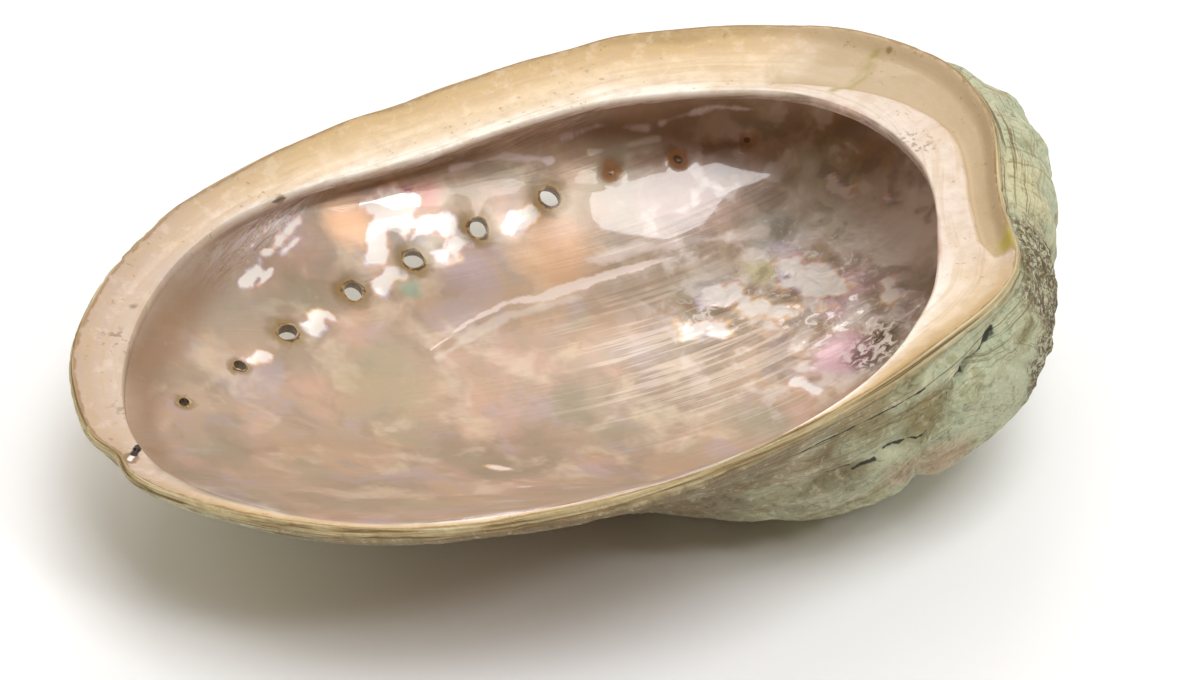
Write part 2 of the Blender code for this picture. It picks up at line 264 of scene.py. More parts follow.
def outerWall(direction, share):
    place = drawnWall(direction, share)
    smooth = np.tensordot(bowl, bowlTerms(place), axes=1)
    blend = smoothStep(*wall["bowlBlend"], share)
    return np.array([place[0], place[1], place[2] * (1 - blend) + smooth * blend])


def inwardNormal(direction, share):
    near = np.clip(share, 0.002, 0.98)
    down = outerWall(direction, near + 0.002) - outerWall(direction, near - 0.002)
    turn = outerWall(direction + 0.01, near) - outerWall(direction - 0.01, near)
    normal = np.cross(turn, down, axis=0)
    return normal / np.linalg.norm(normal, axis=0)


def wallInside(direction, share):
    thickness = around(wall["thickness"], direction) * (1 - share) + wall["baseThickness"] * share
    return outerWall(direction, share) + thickness * inwardNormal(direction, share)


def shelfEdge(direction):
    width = around(shelf["width"], direction)
    drop = shelf["edgeRounding"] + shelf["drop"] * smoothStep(*shelf["wideFrom"], width)
    return spot(direction, around(mouth["rimRadius"], direction) - width, -drop)


def innerCurve(direction, share):
    split = around(shelf["hollowShare"], direction)
    width = around(shelf["width"], direction)
    blunt = shelf["edgeRounding"] + shelf["edgeDrop"] * smoothStep(*shelf["wideFrom"], width)
    top = shelfEdge(direction) - spot(direction, 0 * split, blunt)
    joint = wallInside(direction, split)
    run = wallInside(direction, split + 0.01) - joint
    run = run / np.linalg.norm(run, axis=0)
    bend = joint - shelf["hollowBend"] * np.linalg.norm(top - joint, axis=0) * run
    part = np.clip(share / split, 0.0, 1.0)
    hollow = (1 - part)**2 * top + 2 * part * (1 - part) * bend + part**2 * joint
    return np.where(share < split, hollow, wallInside(direction, np.maximum(share, split)))


def lipCurve(direction, share):
    rim = lipRadius(direction)
    lip = around(mouth["lipThickness"], direction)
    low = spot(direction, rim - mouth["lipBelow"], -lip)
    out = spot(direction, rim + mouth["lipBulge"], -lip / 4)
    top = spot(direction, rim - mouth["lipAbove"], lipWave(direction))
    left = 1 - share
    return left**2 * low + 2 * left * share * out + share**2 * top


def shelfCurve(direction, share):
    start = lipCurve(direction, 1.0 + 0 * share)
    end = shelfEdge(direction)
    width = around(shelf["width"], direction)
    dish = shelf["dish"] * smoothStep(*shelf["dishedFrom"], width) * np.sin(math.pi * share)
    return start + (end - start) * share - spot(direction, 0 * dish, dish)


# Growth: how old each place is, and where it lies across the spiral

def unrolled(direction, share):
    radius = around(mouth["rimRadius"], direction) * (1 - share)
    return np.array([radius * np.cos(direction), radius * np.sin(direction)])


def lipDistance(angle):
    directions = np.linspace(-math.pi, math.pi, 721)
    rim = around(mouth["rimRadius"], directions)
    across = rim * np.cos(directions) - growth["spireCentre"][0]
    along = rim * np.sin(directions) - growth["spireCentre"][1]
    angles = np.unwrap(np.arctan2(along, across))
    start = angles[0]
    return np.interp((angle - start) % math.tau + start, angles, np.hypot(across, along))


def growthAge(place):
    across = place[0] - growth["spireCentre"][0]
    along = place[1] - growth["spireCentre"][1]
    distance = np.maximum(np.hypot(across, along), 0.0008)
    angle = np.arctan2(along, across)
    age = np.full(distance.shape, np.nan)
    step = 0.04
    gapBefore = distance - lipDistance(angle)
    for i in range(1, 320):
        gap = distance * math.exp(growth["rate"] * i * step) - lipDistance(angle + i * step)
        crossed = np.isnan(age) & (gap >= 0) & (gapBefore < 0)
        share = gapBefore / np.where(crossed, gapBefore - gap, 1.0)
        age = np.where(crossed, (i - 1 + share) * step, age)
        gapBefore = gap
    return np.nan_to_num(age, nan=0.0)


def whorlLevel(place):
    across = place[0] - growth["spireCentre"][0]
    along = place[1] - growth["spireCentre"][1]
    distance = np.hypot(across, along) + 1e-5
    corner = math.radians(growth["cornerDirection"])
    cornerRadius = float(around(mouth["rimRadius"], corner))
    cornerAcross = cornerRadius * math.cos(corner) - growth["spireCentre"][0]
    cornerAlong = cornerRadius * math.sin(corner) - growth["spireCentre"][1]
    turn = (np.arctan2(along, across) - math.atan2(cornerAlong, cornerAcross)) % math.tau - math.tau
    seam = math.hypot(cornerAcross, cornerAlong) * np.exp(growth["rate"] * turn)
    return np.log(distance / seam), distance, turn


def noiseAt(places, size, seed, octaves=3):
    # Smooth noise of about -1 to 1 at an array of places, with features of a size in metres
    shift = Vector((seed * 7.13, seed * 3.71, seed * 5.37))
    return np.array([
        noise.fractal(Vector(place) / size + shift, 1.0, 2.0, octaves, noise_basis="PERLIN_ORIGINAL")
        for place in places
    ])


def ridgedAt(places, size, seed):
    return 1 - 2 * np.abs(noiseAt(places, size, seed, 2))


def lineDistance(places, points):
    # Distance from an array of places to a line through points, and the share along it
    best = np.full(len(places), 1.0)
    along = np.zeros(len(places))
    points = np.array(points, dtype=float)
    for i in range(len(points) - 1):
        step = points[i + 1] - points[i]
        share = np.clip((places - points[i]) @ step / (step @ step), 0.0, 1.0)
        gap = np.linalg.norm(places - points[i] - share[:, None] * step, axis=1)
        along = np.where(gap < best, (i + share) / (len(points) - 1), along)
        best = np.minimum(best, gap)
    return best, along


restTurn = (
    Matrix.Rotation(math.radians(rest["tipAcross"]), 4, "X")
    @ Matrix.Rotation(math.radians(rest["tipAlong"]), 4, "Y")
)
restPlace = Matrix.Translation(rest["mouthCentre"]) @ restTurn


def poreFrames():
    frames = []
    for degrees, share, width, isOpen in pores["row"]:
        direction = np.array([math.radians(degrees)])
        centre = innerCurve(direction, np.array([share]))[:, 0]
        axis = -inwardNormal(direction, np.array([share]))[:, 0]
        frames.append((centre, axis, width, isOpen))
    return frames


# Relief of the outside: growth ridges, faint spiral cords, crust, slits and lip layers
outside = {
    "wanderSize": 0.018,
    "fineSize": 0.008,
    "cordSize": 0.012,
    "grainSize": 0.0032,
    "patchSize": 0.006,
    "lumpSize": 0.0022,
    "ridgeHeight": 0.00045,
    "fineRidges": 0.00010,
    "cords": 0.00005,
    "cordCount": 34,
    "grain": 0.00010,
    "slitDepth": 0.006,
    "slitFacing": (0.45, -0.84, -0.30),
    "lipLines": 0.00012,         # thin layers that run along the lip
    "lipLineReach": 0.009,
    "lipLineGap": 0.00035,
    "lipLineSize": 0.010,
    "crustHeight": 0.0011,
    "crustLine": [(0.0650, -0.0395, -0.0045), (0.0725, -0.0335, -0.0120), (0.0655, -0.0440, -0.0170)],
    "crustReach": 0.011,
    "slits": [
        # points along the slit, width, depth
        ([(0.0518, -0.0514, -0.0056), (0.0490, -0.0522, -0.0072), (0.0431, -0.0543, -0.0080)],
         0.0008, 0.0022),
        ([(0.0431, -0.0543, -0.0080), (0.0405, -0.0552, -0.0092), (0.0380, -0.0555, -0.0110)],
         0.0004, 0.0008),
        ([(0.0394, -0.0551, -0.0103), (0.0360, -0.0555, -0.0130), (0.0290, -0.0573, -0.0145)],
         0.0005, 0.0007),
        ([(0.0263, -0.0560, -0.0160), (0.0236, -0.0560, -0.0168)], 0.0007, 0.0010),
        ([(0.0225, -0.0560, -0.0160), (0.0200, -0.0560, -0.0158)], 0.0007, 0.0010),
    ],
}


def outsideRelief(direction, share):
    place = unrolled(direction, share)
    level, distance, turn = whorlLevel(place)
    groove = growth["sutureDepth"] * hump(level, growth["sutureWidth"]) * smoothStep(0.0, 0.004, distance)
    spire = growth["spireHeight"] * hump(distance, growth["spireWidth"])
    age = growthAge(place)
    raw = outerWall(direction, share).T
    wander = 0.10 * noiseAt(raw, outside["wanderSize"], 3)
    phase = growth["ridgesPerRadian"] * (age + wander * 0.4) * math.tau
    ridge = outside["ridgeHeight"] * (np.sin(phase) + 0.5 * np.sin(0.43 * phase + 1.0))
    fade = smoothStep(0.0, 0.10, share) * smoothStep(0.003, 0.012, distance)
    finePhase = 5.3 * phase + 2.0 * noiseAt(raw, outside["fineSize"], 4)
    fine = outside["fineRidges"] * (np.sin(finePhase) + 0.6 * np.sin(2.3 * finePhase))
    swing = 1.5 * noiseAt(raw, outside["cordSize"], 5)
    cords = outside["cords"] * np.sin(outside["cordCount"] * level + swing)
    grain = outside["grain"] * noiseAt(raw, outside["grainSize"], 6, 4)
    patch = lineDistance(raw, outside["crustLine"])[0] + 0.004 * noiseAt(raw, outside["patchSize"], 7)
    crust = smoothStep(outside["crustReach"], 0.5 * outside["crustReach"], patch)
    lumps = 0.5 * noiseAt(raw, outside["lumpSize"], 8, 3) + 0.4 * noiseAt(raw, outside["patchSize"], 9, 2)
    relief = spire - groove + ridge * fade + (fine + cords) * fade * (1 - crust) + grain
    relief = relief + outside["crustHeight"] * crust * lumps
    for points, width, depth in outside["slits"]:
        relief = relief - depth * hump(lineDistance(raw, points)[0], width)
    return relief, age, crust


# Relief of the shelf: a sunken trough along its outer side at the spire end, pits and a healed crack
ledge = {
    "plateauEdge": [
        # direction, share of the way from the lip to the inner edge
        (-36, 0.26), (-31, 0.32), (-28, 0.42), (-16, 0.47), (-2, 0.46), (11, 0.62), (24, 0.80),
        (34, 0.95),
    ],
    "plateauEnds": (-35.0, -30.0, 16.0, 40.0),
    "troughDepth": 0.0013,
    "swell": 0.00018,
    "swellSize": 0.014,
    "crack": [(0.0625, 0.0205, -0.0027), (0.0690, 0.0221, -0.0020), (0.0740, 0.0256, -0.0007)],
    "crackWidth": 0.0005,
    "crackDepth": 0.0004,
}


def shelfRelief(direction, share):
    degrees = np.degrees(direction)
    first, full, wane, last = ledge["plateauEnds"]
    zone = smoothStep(first, full, degrees) * smoothStep(last, wane, degrees)
    edge = between(ledge["plateauEdge"], degrees)
    trough = zone * smoothStep(edge + 0.05, edge - 0.07, share)
    place = shelfCurve(direction, share).T
    sunk = ledge["troughDepth"] * trough * smoothStep(0.0, 0.16, share)
    crack = hump(lineDistance(place, ledge["crack"])[0], ledge["crackWidth"])
    swell = ledge["swell"] * noiseAt(place, ledge["swellSize"], 31, 2) * np.sin(math.pi * share)
    return swell - sunk - ledge["crackDepth"] * crack, trough, crack


# Relief of the nacre: swellings, the crinkled muscle scar, crumpled places and the pore row
lining = {
    "swell": 0.00010,
    "swellSize": 0.018,
    # middle, reach along and across, height, size of the crinkles
    "crinkles": [
        ((0.0520, 0.0130, -0.0335), (0.015, 0.012), 0.00045, 0.0050),
        ((0.0525, -0.0060, -0.0335), (0.012, 0.013), 0.00050, 0.0036),
        ((0.0350, 0.0150, -0.0355), (0.010, 0.006), 0.00018, 0.0050),
    ],
    "bend": 0.0015,
    "bendSize": 0.006,
    "pocketCentre": (0.0465, -0.0092, -0.0347),
    "pocketSize": 0.0058,
    "pocketDepth": 0.0007,
    # the crest of the fold below the pores: points, and half width of the highlight painted along it
    "crest": [
        (-0.0184, 0.0215, -0.0265), (-0.0090, 0.0261, -0.0274), (-0.0010, 0.0285, -0.0285),
        (0.0051, 0.0280, -0.0296), (0.0123, 0.0286, -0.0303), (0.0195, 0.0291, -0.0310),
        (0.0273, 0.0290, -0.0317), (0.0325, 0.0285, -0.0321),
    ],
    "crestHeight": 0.00035,
    "crestWidth": 0.0018,
    "crestShine": [(0.0, 0.00020), (0.25, 0.00050), (0.50, 0.00095), (0.72, 0.00085), (0.90, 0.00040),
                   (1.0, 0.00015)],
    "crestStray": 4.0,
    # swellings beside the open pores, painted as bright highlights: start, end, half width
    "pearls": [
        ((-0.0500, 0.0212, -0.0158), (-0.0475, 0.0228, -0.0160), 0.0010),
        ((-0.0365, 0.0288, -0.0190), (-0.0335, 0.0312, -0.0190), 0.0013),
        ((-0.0212, 0.0355, -0.0207), (-0.0176, 0.0378, -0.0204), 0.0014),
        ((-0.0076, 0.0392, -0.0213), (-0.0034, 0.0408, -0.0212), 0.0014),
        ((0.0070, 0.0410, -0.0219), (0.0106, 0.0422, -0.0220), 0.0013),
    ],
    # flat places painted as bright highlights: start, end, half width
    "gleams": [
        ((-0.0193, 0.0406, -0.0182), (-0.0157, 0.0466, -0.0140), 0.0013),
        ((-0.0145, 0.0475, -0.0130), (-0.0115, 0.0470, -0.0140), 0.0022),
        ((-0.0134, 0.0453, -0.0157), (-0.0040, 0.0430, -0.0190), 0.0013),
        ((-0.0440, 0.0380, -0.0117), (-0.0404, 0.0410, -0.0116), 0.0008),
        ((-0.0418, 0.0374, -0.0126), (-0.0385, 0.0405, -0.0125), 0.0004),
        ((-0.0380, 0.0432, -0.0110), (-0.0303, 0.0477, -0.0094), 0.0006),
        ((-0.0360, 0.0428, -0.0120), (-0.0318, 0.0452, -0.0118), 0.0004),
        ((-0.0410, 0.0440, -0.0095), (-0.0365, 0.0465, -0.0085), 0.0003),
        ((0.0345, 0.0178, -0.0351), (0.0378, 0.0156, -0.0355), 0.0019),
        ((0.0260, 0.0133, -0.0360), (0.0322, 0.0099, -0.0363), 0.0014),
        ((0.0377, 0.0135, -0.0358), (0.0435, 0.0073, -0.0358), 0.0013),
        ((0.0500, 0.0152, -0.0342), (0.0525, 0.0068, -0.0342), 0.0024),
        ((0.0365, -0.0098, -0.0362), (0.0375, -0.0146, -0.0359), 0.0009),
        ((0.0640, 0.0270, -0.0270), (0.0655, 0.0230, -0.0275), 0.0012),
        ((0.0700, 0.0180, -0.0270), (0.0705, 0.0150, -0.0275), 0.0006),
        ((0.0585, -0.0050, -0.0312), (0.0600, 0.0000, -0.0312), 0.0010),
        ((-0.0210, -0.0132, -0.0268), (-0.0195, -0.0142, -0.0268), 0.0009),
        ((-0.0208, -0.0255, -0.0221), (-0.0198, -0.0259, -0.0220), 0.0006),
    ],
    "pearlHeight": 0.00035,
    "edgeSize": 0.0026,          # size of the bays along the edge of a bright place
    "poreRidge": [
        (-0.0706, 0.0009, -0.0066), (-0.0642, 0.0112, -0.0107), (-0.0595, 0.0148, -0.0119),
        (-0.0516, 0.0216, -0.0154),
    ],
    "poreRidgeHeight": 0.00022,
    "poreRidgeWidth": 0.0005,
    # where the nacre is polished enough to mirror: a line through each place, and its reach
    "polished": [
        ([(0.0285, 0.0393, -0.0253), (0.0404, 0.0377, -0.0269), (0.0549, 0.0301, -0.0293)], 0.0070),
        ([(0.0172, 0.0324, -0.0291), (0.0272, 0.0323, -0.0301), (0.0480, 0.0266, -0.0319)], 0.0030),
        ([(-0.0134, 0.0453, -0.0157), (-0.0141, 0.0470, -0.0135), (-0.0185, 0.0420, -0.0170)], 0.0026),
        ([(0.0294, 0.0127, -0.0359), (0.0400, 0.0130, -0.0358), (0.0547, 0.0149, -0.0334)], 0.0060),
        ([(0.0500, 0.0100, -0.0340), (0.0510, -0.0120, -0.0330)], 0.0090),
    ],
}


def insideRelief(direction, share):
    raw = innerCurve(direction, share).T
    swell = lining["swell"] * noiseAt(raw, lining["swellSize"], 11, 2)
    scar = np.zeros(len(raw))
    crinkled = np.zeros(len(raw))
    for number, (middle, reach, height, size) in enumerate(lining["crinkles"]):
        offset = (raw - np.array(middle))[:, :2] / np.array(reach)
        zone = np.exp(-(offset ** 2).sum(axis=1) ** 2)
        bends = raw + lining["bend"] * noiseAt(raw, lining["bendSize"], 40 + number, 2)[:, None]
        crinkled += height * zone * ridgedAt(bends * np.array([1.0, 0.55, 1.0]), size, 13 + number)
        scar = np.maximum(scar, zone)
    pocketGap = np.linalg.norm(raw - np.array(lining["pocketCentre"]), axis=1)
    calm = np.exp(-(pocketGap / lining["pocketSize"]) ** 4)
    crinkled = crinkled * (1 - calm)
    pocket = -lining["pocketDepth"] * hump(pocketGap, lining["pocketSize"])
    gap, along = lineDistance(raw, lining["crest"])
    crest = lining["crestHeight"] * hump(gap, lining["crestWidth"])
    crest = crest * np.sin(math.pi * np.clip(along, 0, 1)) ** 0.5
    # Where a highlight is painted along the crest
    crestHighlight = np.maximum(1 - gap / between(lining["crestShine"], along) / lining["crestStray"], 0)
    ridgeLine = hump(lineDistance(raw, lining["poreRidge"])[0], lining["poreRidgeWidth"])
    crest = crest + lining["poreRidgeHeight"] * ridgeLine
    # Relief of the swellings and pore craters, and where bright highlights are painted on the swellings and
    # flat bright places
    dip = np.zeros(len(raw))
    paintedHighlight = np.zeros(len(raw))
    wander = noiseAt(raw, lining["edgeSize"], 51, 2)
    for start, end, width in lining["pearls"]:
        gap = lineDistance(raw, (start, end))[0]
        dip = dip + lining["pearlHeight"] * hump(gap, 1.3 * width)
        paintedHighlight = np.maximum(paintedHighlight, smoothStep(2.2, 0.3, gap / width + 1.0 * wander))
    for start, end, width in lining["gleams"]:
        gap = lineDistance(raw, (start, end))[0]
        paintedHighlight = np.maximum(paintedHighlight, smoothStep(2.4, 0.2, gap / width + 1.3 * wander))
    polish = np.zeros(len(raw))
    for points, reach in lining["polished"]:
        polish = np.maximum(polish, smoothStep(1.25, 0.75, lineDistance(raw, points)[0] / reach))
    polish = np.maximum(polish, paintedHighlight) * (1 - calm)
    for centre, axis, width, isOpen in poreFrames():
        gap = np.linalg.norm(raw - centre, axis=1)
        if isOpen:
            dip = dip - pores["craterDepth"] * hump(gap, pores["craterWidth"])
        else:
            dip = dip - pores["dimpleDepth"] * hump(gap, pores["dimpleWidth"])
            polish = polish * (1 - hump(gap, width))
    relief = (swell + crinkled + pocket + crest + dip) * smoothStep(0.0, 0.08, share)
    return relief, {"scar": scar * (1 - calm), "ridgeLine": ridgeLine, "paintedHighlight": paintedHighlight, "polish": polish,
                    "crestHighlight": crestHighlight}


# Fine mesh: rings from the outside of the base, over the lip, to the inside of the base
creamReach = [
    # direction, width of the cream band from the lip, how softly it ends
    (-172, 0.0044, 0.0012), (-158, 0.0026, 0.0008), (-135, 0.0020, 0.0006), (-110, 0.0017, 0.0005),
    (-90, 0.0014, 0.0004), (-76, 0.0018, 0.0004), (-62, 0.0044, 0.0004), (-48, 0.0095, 0.0004),
    (-36, 0.0135, 0.0004), (-21, 0.0118, 0.0004), (-7, 0.0144, 0.0004), (6, 0.0186, 0.0004),
    (25, 0.0202, 0.0003), (38, 0.0199, 0.0003), (55, 0.0174, 0.0003), (80, 0.0157, 0.0003),
    (108, 0.0141, 0.0004), (122, 0.0118, 0.0010), (132, 0.0108, 0.0034), (150, 0.0102, 0.0046),
    (163, 0.0094, 0.0026), (176, 0.0082, 0.0012),
]
hollowReach = [
    # direction, how far the band under the shelf reaches beyond the cream
    (-174, 0.0050), (-150, 0.0020), (-60, 0.0020), (-20, 0.0035), (8, 0.0050), (28, 0.0085),
    (50, 0.0125), (66, 0.0135), (90, 0.0115), (115, 0.0070), (132, 0.0075), (160, 0.0095),
    (176, 0.0060),
]

# Which finish each stretch of the surface takes; what the pores cut open takes the first
finishes = {"lining": 0, "shelf": 1, "outside": 2}


def shellSurface():
    segments = mesh["segments"]
    turns = np.linspace(-math.pi, math.pi, segments, endpoint=False)
    rows = []
    for i in range(mesh["outerRings"], 0, -1):
        rows.append(("outer", np.full(segments, i / mesh["outerRings"] * mesh["lastShare"])))
    for i in range(mesh["lipRings"]):
        rows.append(("lip", np.full(segments, i / mesh["lipRings"])))
    for i in range(mesh["shelfRings"] + 1):
        rows.append(("shelf", np.full(segments, i / mesh["shelfRings"])))
    split = around(shelf["hollowShare"], turns)
    for i in range(mesh["hollowRings"]):
        rows.append(("inner", split * i / mesh["hollowRings"]))
    for i in range(mesh["innerRings"] + 1):
        rows.append(("inner", split + (mesh["lastShare"] - split) * i / mesh["innerRings"]))

    kinds = np.repeat([kind for kind, share in rows], segments)
    shares = np.concatenate([share for kind, share in rows])
    directions = np.tile(turns, len(rows))
    place = np.zeros((3, len(shares)))
    names = ("age", "crust", "scar", "nacre", "hollow", "trough", "ledgeCrack", "ridgeLine", "paintedHighlight",
             "polish", "crestHighlight", "shelfShare", "run", "drop", "inward", "leftEnd")
    marks = {name: np.zeros(len(shares)) for name in names}

    outer = kinds == "outer"
    relief, marks["age"][outer], marks["crust"][outer] = outsideRelief(directions[outer], shares[outer])
    place[:, outer] = outerWall(directions[outer], shares[outer])
    swing = 3.0 * noiseAt(place[:, outer].T, outside["lipLineSize"], 22, 2)
    lines = np.sin(place[2, outer] / outside["lipLineGap"] + swing)
    near = smoothStep(outside["lipLineReach"], 0.0, np.abs(place[2, outer]))
    relief = relief + outside["lipLines"] * lines * near
    place[:, outer] -= relief * inwardNormal(directions[outer], shares[outer])
    up = np.array((restTurn.inverted().to_3x3() @ Vector((0.0, 0.0, 1.0)))[:])
    below = np.minimum(up @ place[:, outer] + rest["mouthCentre"][2], 0.0)
    place[:, outer] -= up[:, None] * below

    lip = kinds == "lip"
    place[:, lip] = lipCurve(directions[lip], shares[lip])
    chips = mouth["chipDepth"] * np.maximum(noiseAt(place[:, lip].T, mouth["chipSize"], 21, 3), 0)
    place[:, lip] -= spot(directions[lip], chips, 0.0) * np.sin(math.pi * shares[lip])

    flat = kinds == "shelf"
    relief, marks["trough"][flat], marks["ledgeCrack"][flat] = shelfRelief(directions[flat], shares[flat])
    place[:, flat] = shelfCurve(directions[flat], shares[flat])
    place[2, flat] += relief
    marks["shelfShare"][flat] = shares[flat]

    inner = kinds == "inner"
    relief, found = insideRelief(directions[inner], shares[inner])
    place[:, inner] = innerCurve(directions[inner], shares[inner])
    place[:, inner] += relief * inwardNormal(directions[inner], shares[inner])
    for name, values in found.items():
        marks[name][inner] = values
    marks["shelfShare"][inner] = 1.0

    # How far each place lies from the lip's top edge, inward over the shelf and down the outside
    grid = place.reshape(3, len(rows), segments)
    steps = np.linalg.norm(np.diff(grid, axis=1), axis=0)
    top = mesh["outerRings"] + mesh["lipRings"]
    inward = np.zeros((len(rows), segments))
    inward[top + 1:] = np.cumsum(steps[top:], axis=0)
    drop = np.zeros((len(rows), segments))
    drop[:top] = np.cumsum(steps[:top][::-1], axis=0)[::-1]
    marks["inward"] = inward.ravel()
    marks["drop"] = drop.ravel()
    marks["run"] = directions * np.tile(around(mouth["rimRadius"], turns), len(rows))
    turned = np.degrees(directions)
    reach = between(creamReach, turned, 1, 360)
    soft = between(creamReach, turned, 2, 360)
    nacre = smoothStep(reach - soft, reach + soft, marks["inward"])
    marks["nacre"] = np.where(outer, 0.0, nacre)
    beyond = (marks["inward"] - reach) / between(hollowReach, turned, 1, 360)
    marks["hollow"] = np.where(inner, smoothStep(1.3, 0.55, beyond), 0.0)
    marks["leftEnd"] = smoothStep(112, 150, turned) + smoothStep(-150, -172, turned)

    for centre, axis, width, isOpen in poreFrames():
        offset = place[:, outer].T - centre
        along = offset @ axis
        away = np.linalg.norm(offset - along[:, None] * axis, axis=1)
        mound = pores["moundHeight"] * hump(away, pores["moundWidth"])
        place[:, outer] += (mound * (np.abs(along) < pores["moundReach"])) * axis[:, None]

    count = len(rows)
    first = np.arange(segments)
    after = (first + 1) % segments
    faces = []
    for row in range(count - 1):
        low = row * segments
        high = low + segments
        faces.extend(np.column_stack([low + first, low + after, high + after, high + first]).tolist())
    finish = np.full((count - 1, segments), finishes["lining"])
    nacre = marks["nacre"].reshape(count, segments)
    most = np.maximum(nacre[:-1], nacre[1:])
    most = np.maximum(most, np.roll(most, -1, axis=1))
    finish[most == 0] = finishes["shelf"]
    finish[:top] = finishes["outside"]
    faces.append((first[::-1]).tolist())
    faces.append(((count - 1) * segments + first).tolist())
    finish = finish.ravel().tolist() + [finishes["outside"], finishes["lining"]]
    return place.T, faces, marks, finish


def makeShell():
    place, faces, marks, finish = shellSurface()
    data = bpy.data.meshes.new("abaloneShell")
    data.from_pydata(place.tolist(), [], faces)
    for name, values in marks.items():
        data.attributes.new(name, "FLOAT", "POINT").data.foreach_set("value", values.astype(np.float32))
    data.transform(restPlace)
    data.polygons.foreach_set("material_index", finish)
    data.update()
    data.shade_smooth()
    for name in finishes:
        data.materials.append(surfaceMaterial(name))
    shell = bpy.data.objects.new("abaloneShell", data)
    bpy.context.scene.collection.objects.link(shell)
    return shell


def cutPores(shell):
    tool = bmesh.new()
    slant = np.array(pores["slant"]) @ np.array(restTurn.to_3x3())
    for number, (centre, axis, width, isOpen) in enumerate(poreFrames()):
        if not isOpen:
            continue
        last = number == len(pores["row"]) - 1
        slantShare = pores["lastSlantShare"] if last else pores["slantShare"]
        heading = axis * (1 - slantShare) + slant * slantShare
        start = np.array(notch["pit"]) if last else centre
        where = (restPlace @ Matrix.Translation(Vector(start))
                 @ Vector(heading).to_track_quat("Z", "Y").to_matrix().to_4x4())
        hole = width / 2 * (pores["lastClear"] if last else pores["clear"])
        where = where @ Matrix.Rotation(number * pores["turn"], 4, "Z")
        where = where @ Matrix.Diagonal((1.0, pores["oval"], 1.0, 1.0))
        bmesh.ops.create_cone(tool, cap_ends=True, segments=pores["sides"], radius1=hole / pores["flare"],
                              radius2=hole * pores["flare"], depth=2 * pores["reach"], matrix=where)
    data = bpy.data.meshes.new("poreCutter")
    tool.to_mesh(data)
    tool.free()
    cutter = bpy.data.objects.new("poreCutter", data)
    bpy.context.scene.collection.objects.link(cutter)
    cut = shell.modifiers.new("pores", "BOOLEAN")
    cut.operation = "DIFFERENCE"
    cut.solver = "EXACT"
    cut.object = cutter
    bpy.context.view_layer.update()
    graph = bpy.context.evaluated_depsgraph_get()
    done = bpy.data.meshes.new_from_object(shell.evaluated_get(graph))
    shell.modifiers.clear()
    shell.data = done
    bpy.data.objects.remove(cutter)


# Node helpers

def plug(tree, socket, value):
    # Link an output of another node, or set a plain value
    if isinstance(value, bpy.types.NodeSocket):
        tree.links.new(value, socket)
    else:
        socket.default_value = (*value, 1.0) if socket.type == "RGBA" else value


def addNode(tree, kind, inputs=None, **settings):
    node = tree.nodes.new(kind)
    for name, value in settings.items():
        setattr(node, name, value)
    for name, value in (inputs or {}).items():
        plug(tree, node.inputs[name], value)
    return node


def mark(tree, name):
    return addNode(tree, "ShaderNodeAttribute", attribute_name=name).outputs["Fac"]


def cloud(tree, place, scale, detail=3.0, distortion=0.0, roughness=0.5):
    return addNode(tree, "ShaderNodeTexNoise", {
        "Vector": place, "Scale": scale, "Detail": detail, "Distortion": distortion, "Roughness": roughness,
    }).outputs["Fac"]


def sRgb(red, green, blue):
    # Screen colour, 0 to 255, as the linear colour that the shader works in
    shares = (red / 255, green / 255, blue / 255)
    return tuple(((c + 0.055) / 1.055) ** 2.4 if c > 0.0404 else c / 12.92 for c in shares)


def ramp(tree, value, stops):
    # Stops are shares or screen colours
    node = addNode(tree, "ShaderNodeValToRGB", {"Fac": value})
    node.color_ramp.interpolation = "EASE"
    elements = node.color_ramp.elements
    while len(elements) < len(stops):
        elements.new(0.5)
    for element, (position, tone) in zip(elements, stops):
        element.position = position
        element.color = (*sRgb(*tone), 1.0) if isinstance(tone, tuple) else (tone, tone, tone, 1.0)
    return node.outputs["Color"]


def fade(tree, value, start, full):
    # A share that is 0 at the start and 1 where it is full, in either direction
    return ramp(tree, value, sorted([(start, 0.0), (full, 1.0)]))


def within(tree, value, far, near):
    # 1 where a measure is below near, 0 where it is above far
    return addNode(tree, "ShaderNodeMapRange", {"Value": value, "From Min": far, "From Max": near},
                   interpolation_type="SMOOTHSTEP").outputs["Result"]


def blendColour(tree, share, first, second, way="MIX"):
    return addNode(tree, "ShaderNodeMix", {0: share, 6: first, 7: second},
                   data_type="RGBA", blend_type=way).outputs[2]


def blendValue(tree, share, first, second):
    return addNode(tree, "ShaderNodeMix", {0: share, 2: first, 3: second}, data_type="FLOAT").outputs[0]


def calc(tree, operation, *values):
    return addNode(tree, "ShaderNodeMath", dict(enumerate(values)), operation=operation).outputs[0]


def times(tree, first, second):
    return calc(tree, "MULTIPLY", first, second)


def vectorCalc(tree, operation, *values):
    slots = (0, "Scale") if operation == "SCALE" else (0, 1)
    node = addNode(tree, "ShaderNodeVectorMath", dict(zip(slots, values)), operation=operation)
    return node.outputs["Value" if operation in ("DISTANCE", "DOT_PRODUCT", "LENGTH") else "Vector"]


def uneven(tree, value, pattern, reach):
    # A measure that a cloud pushes up or down by up to half the reach
    return calc(tree, "MULTIPLY_ADD", pattern, reach, calc(tree, "SUBTRACT", value, reach / 2))


def stretched(tree, along, alongScale, across, acrossScale, detail, distortion, roughness):
    # Cloud over two marks of the surface, so that its streaks run along one of them
    place = addNode(tree, "ShaderNodeCombineXYZ", {
        "X": times(tree, mark(tree, along), alongScale), "Y": times(tree, mark(tree, across), acrossScale),
    }).outputs["Vector"]
    return cloud(tree, place, 1.0, detail, distortion, roughness)


def nearness(tree, place, point, reach, inner, ragged, raggedShare=0.9):
    # 1 at a point of the shell, 0 beyond the reach, with a ragged outline
    gap = vectorCalc(tree, "DISTANCE", place, restPlace @ Vector(point))
    return within(tree, uneven(tree, gap, ragged, reach * raggedShare), reach, reach * inner)


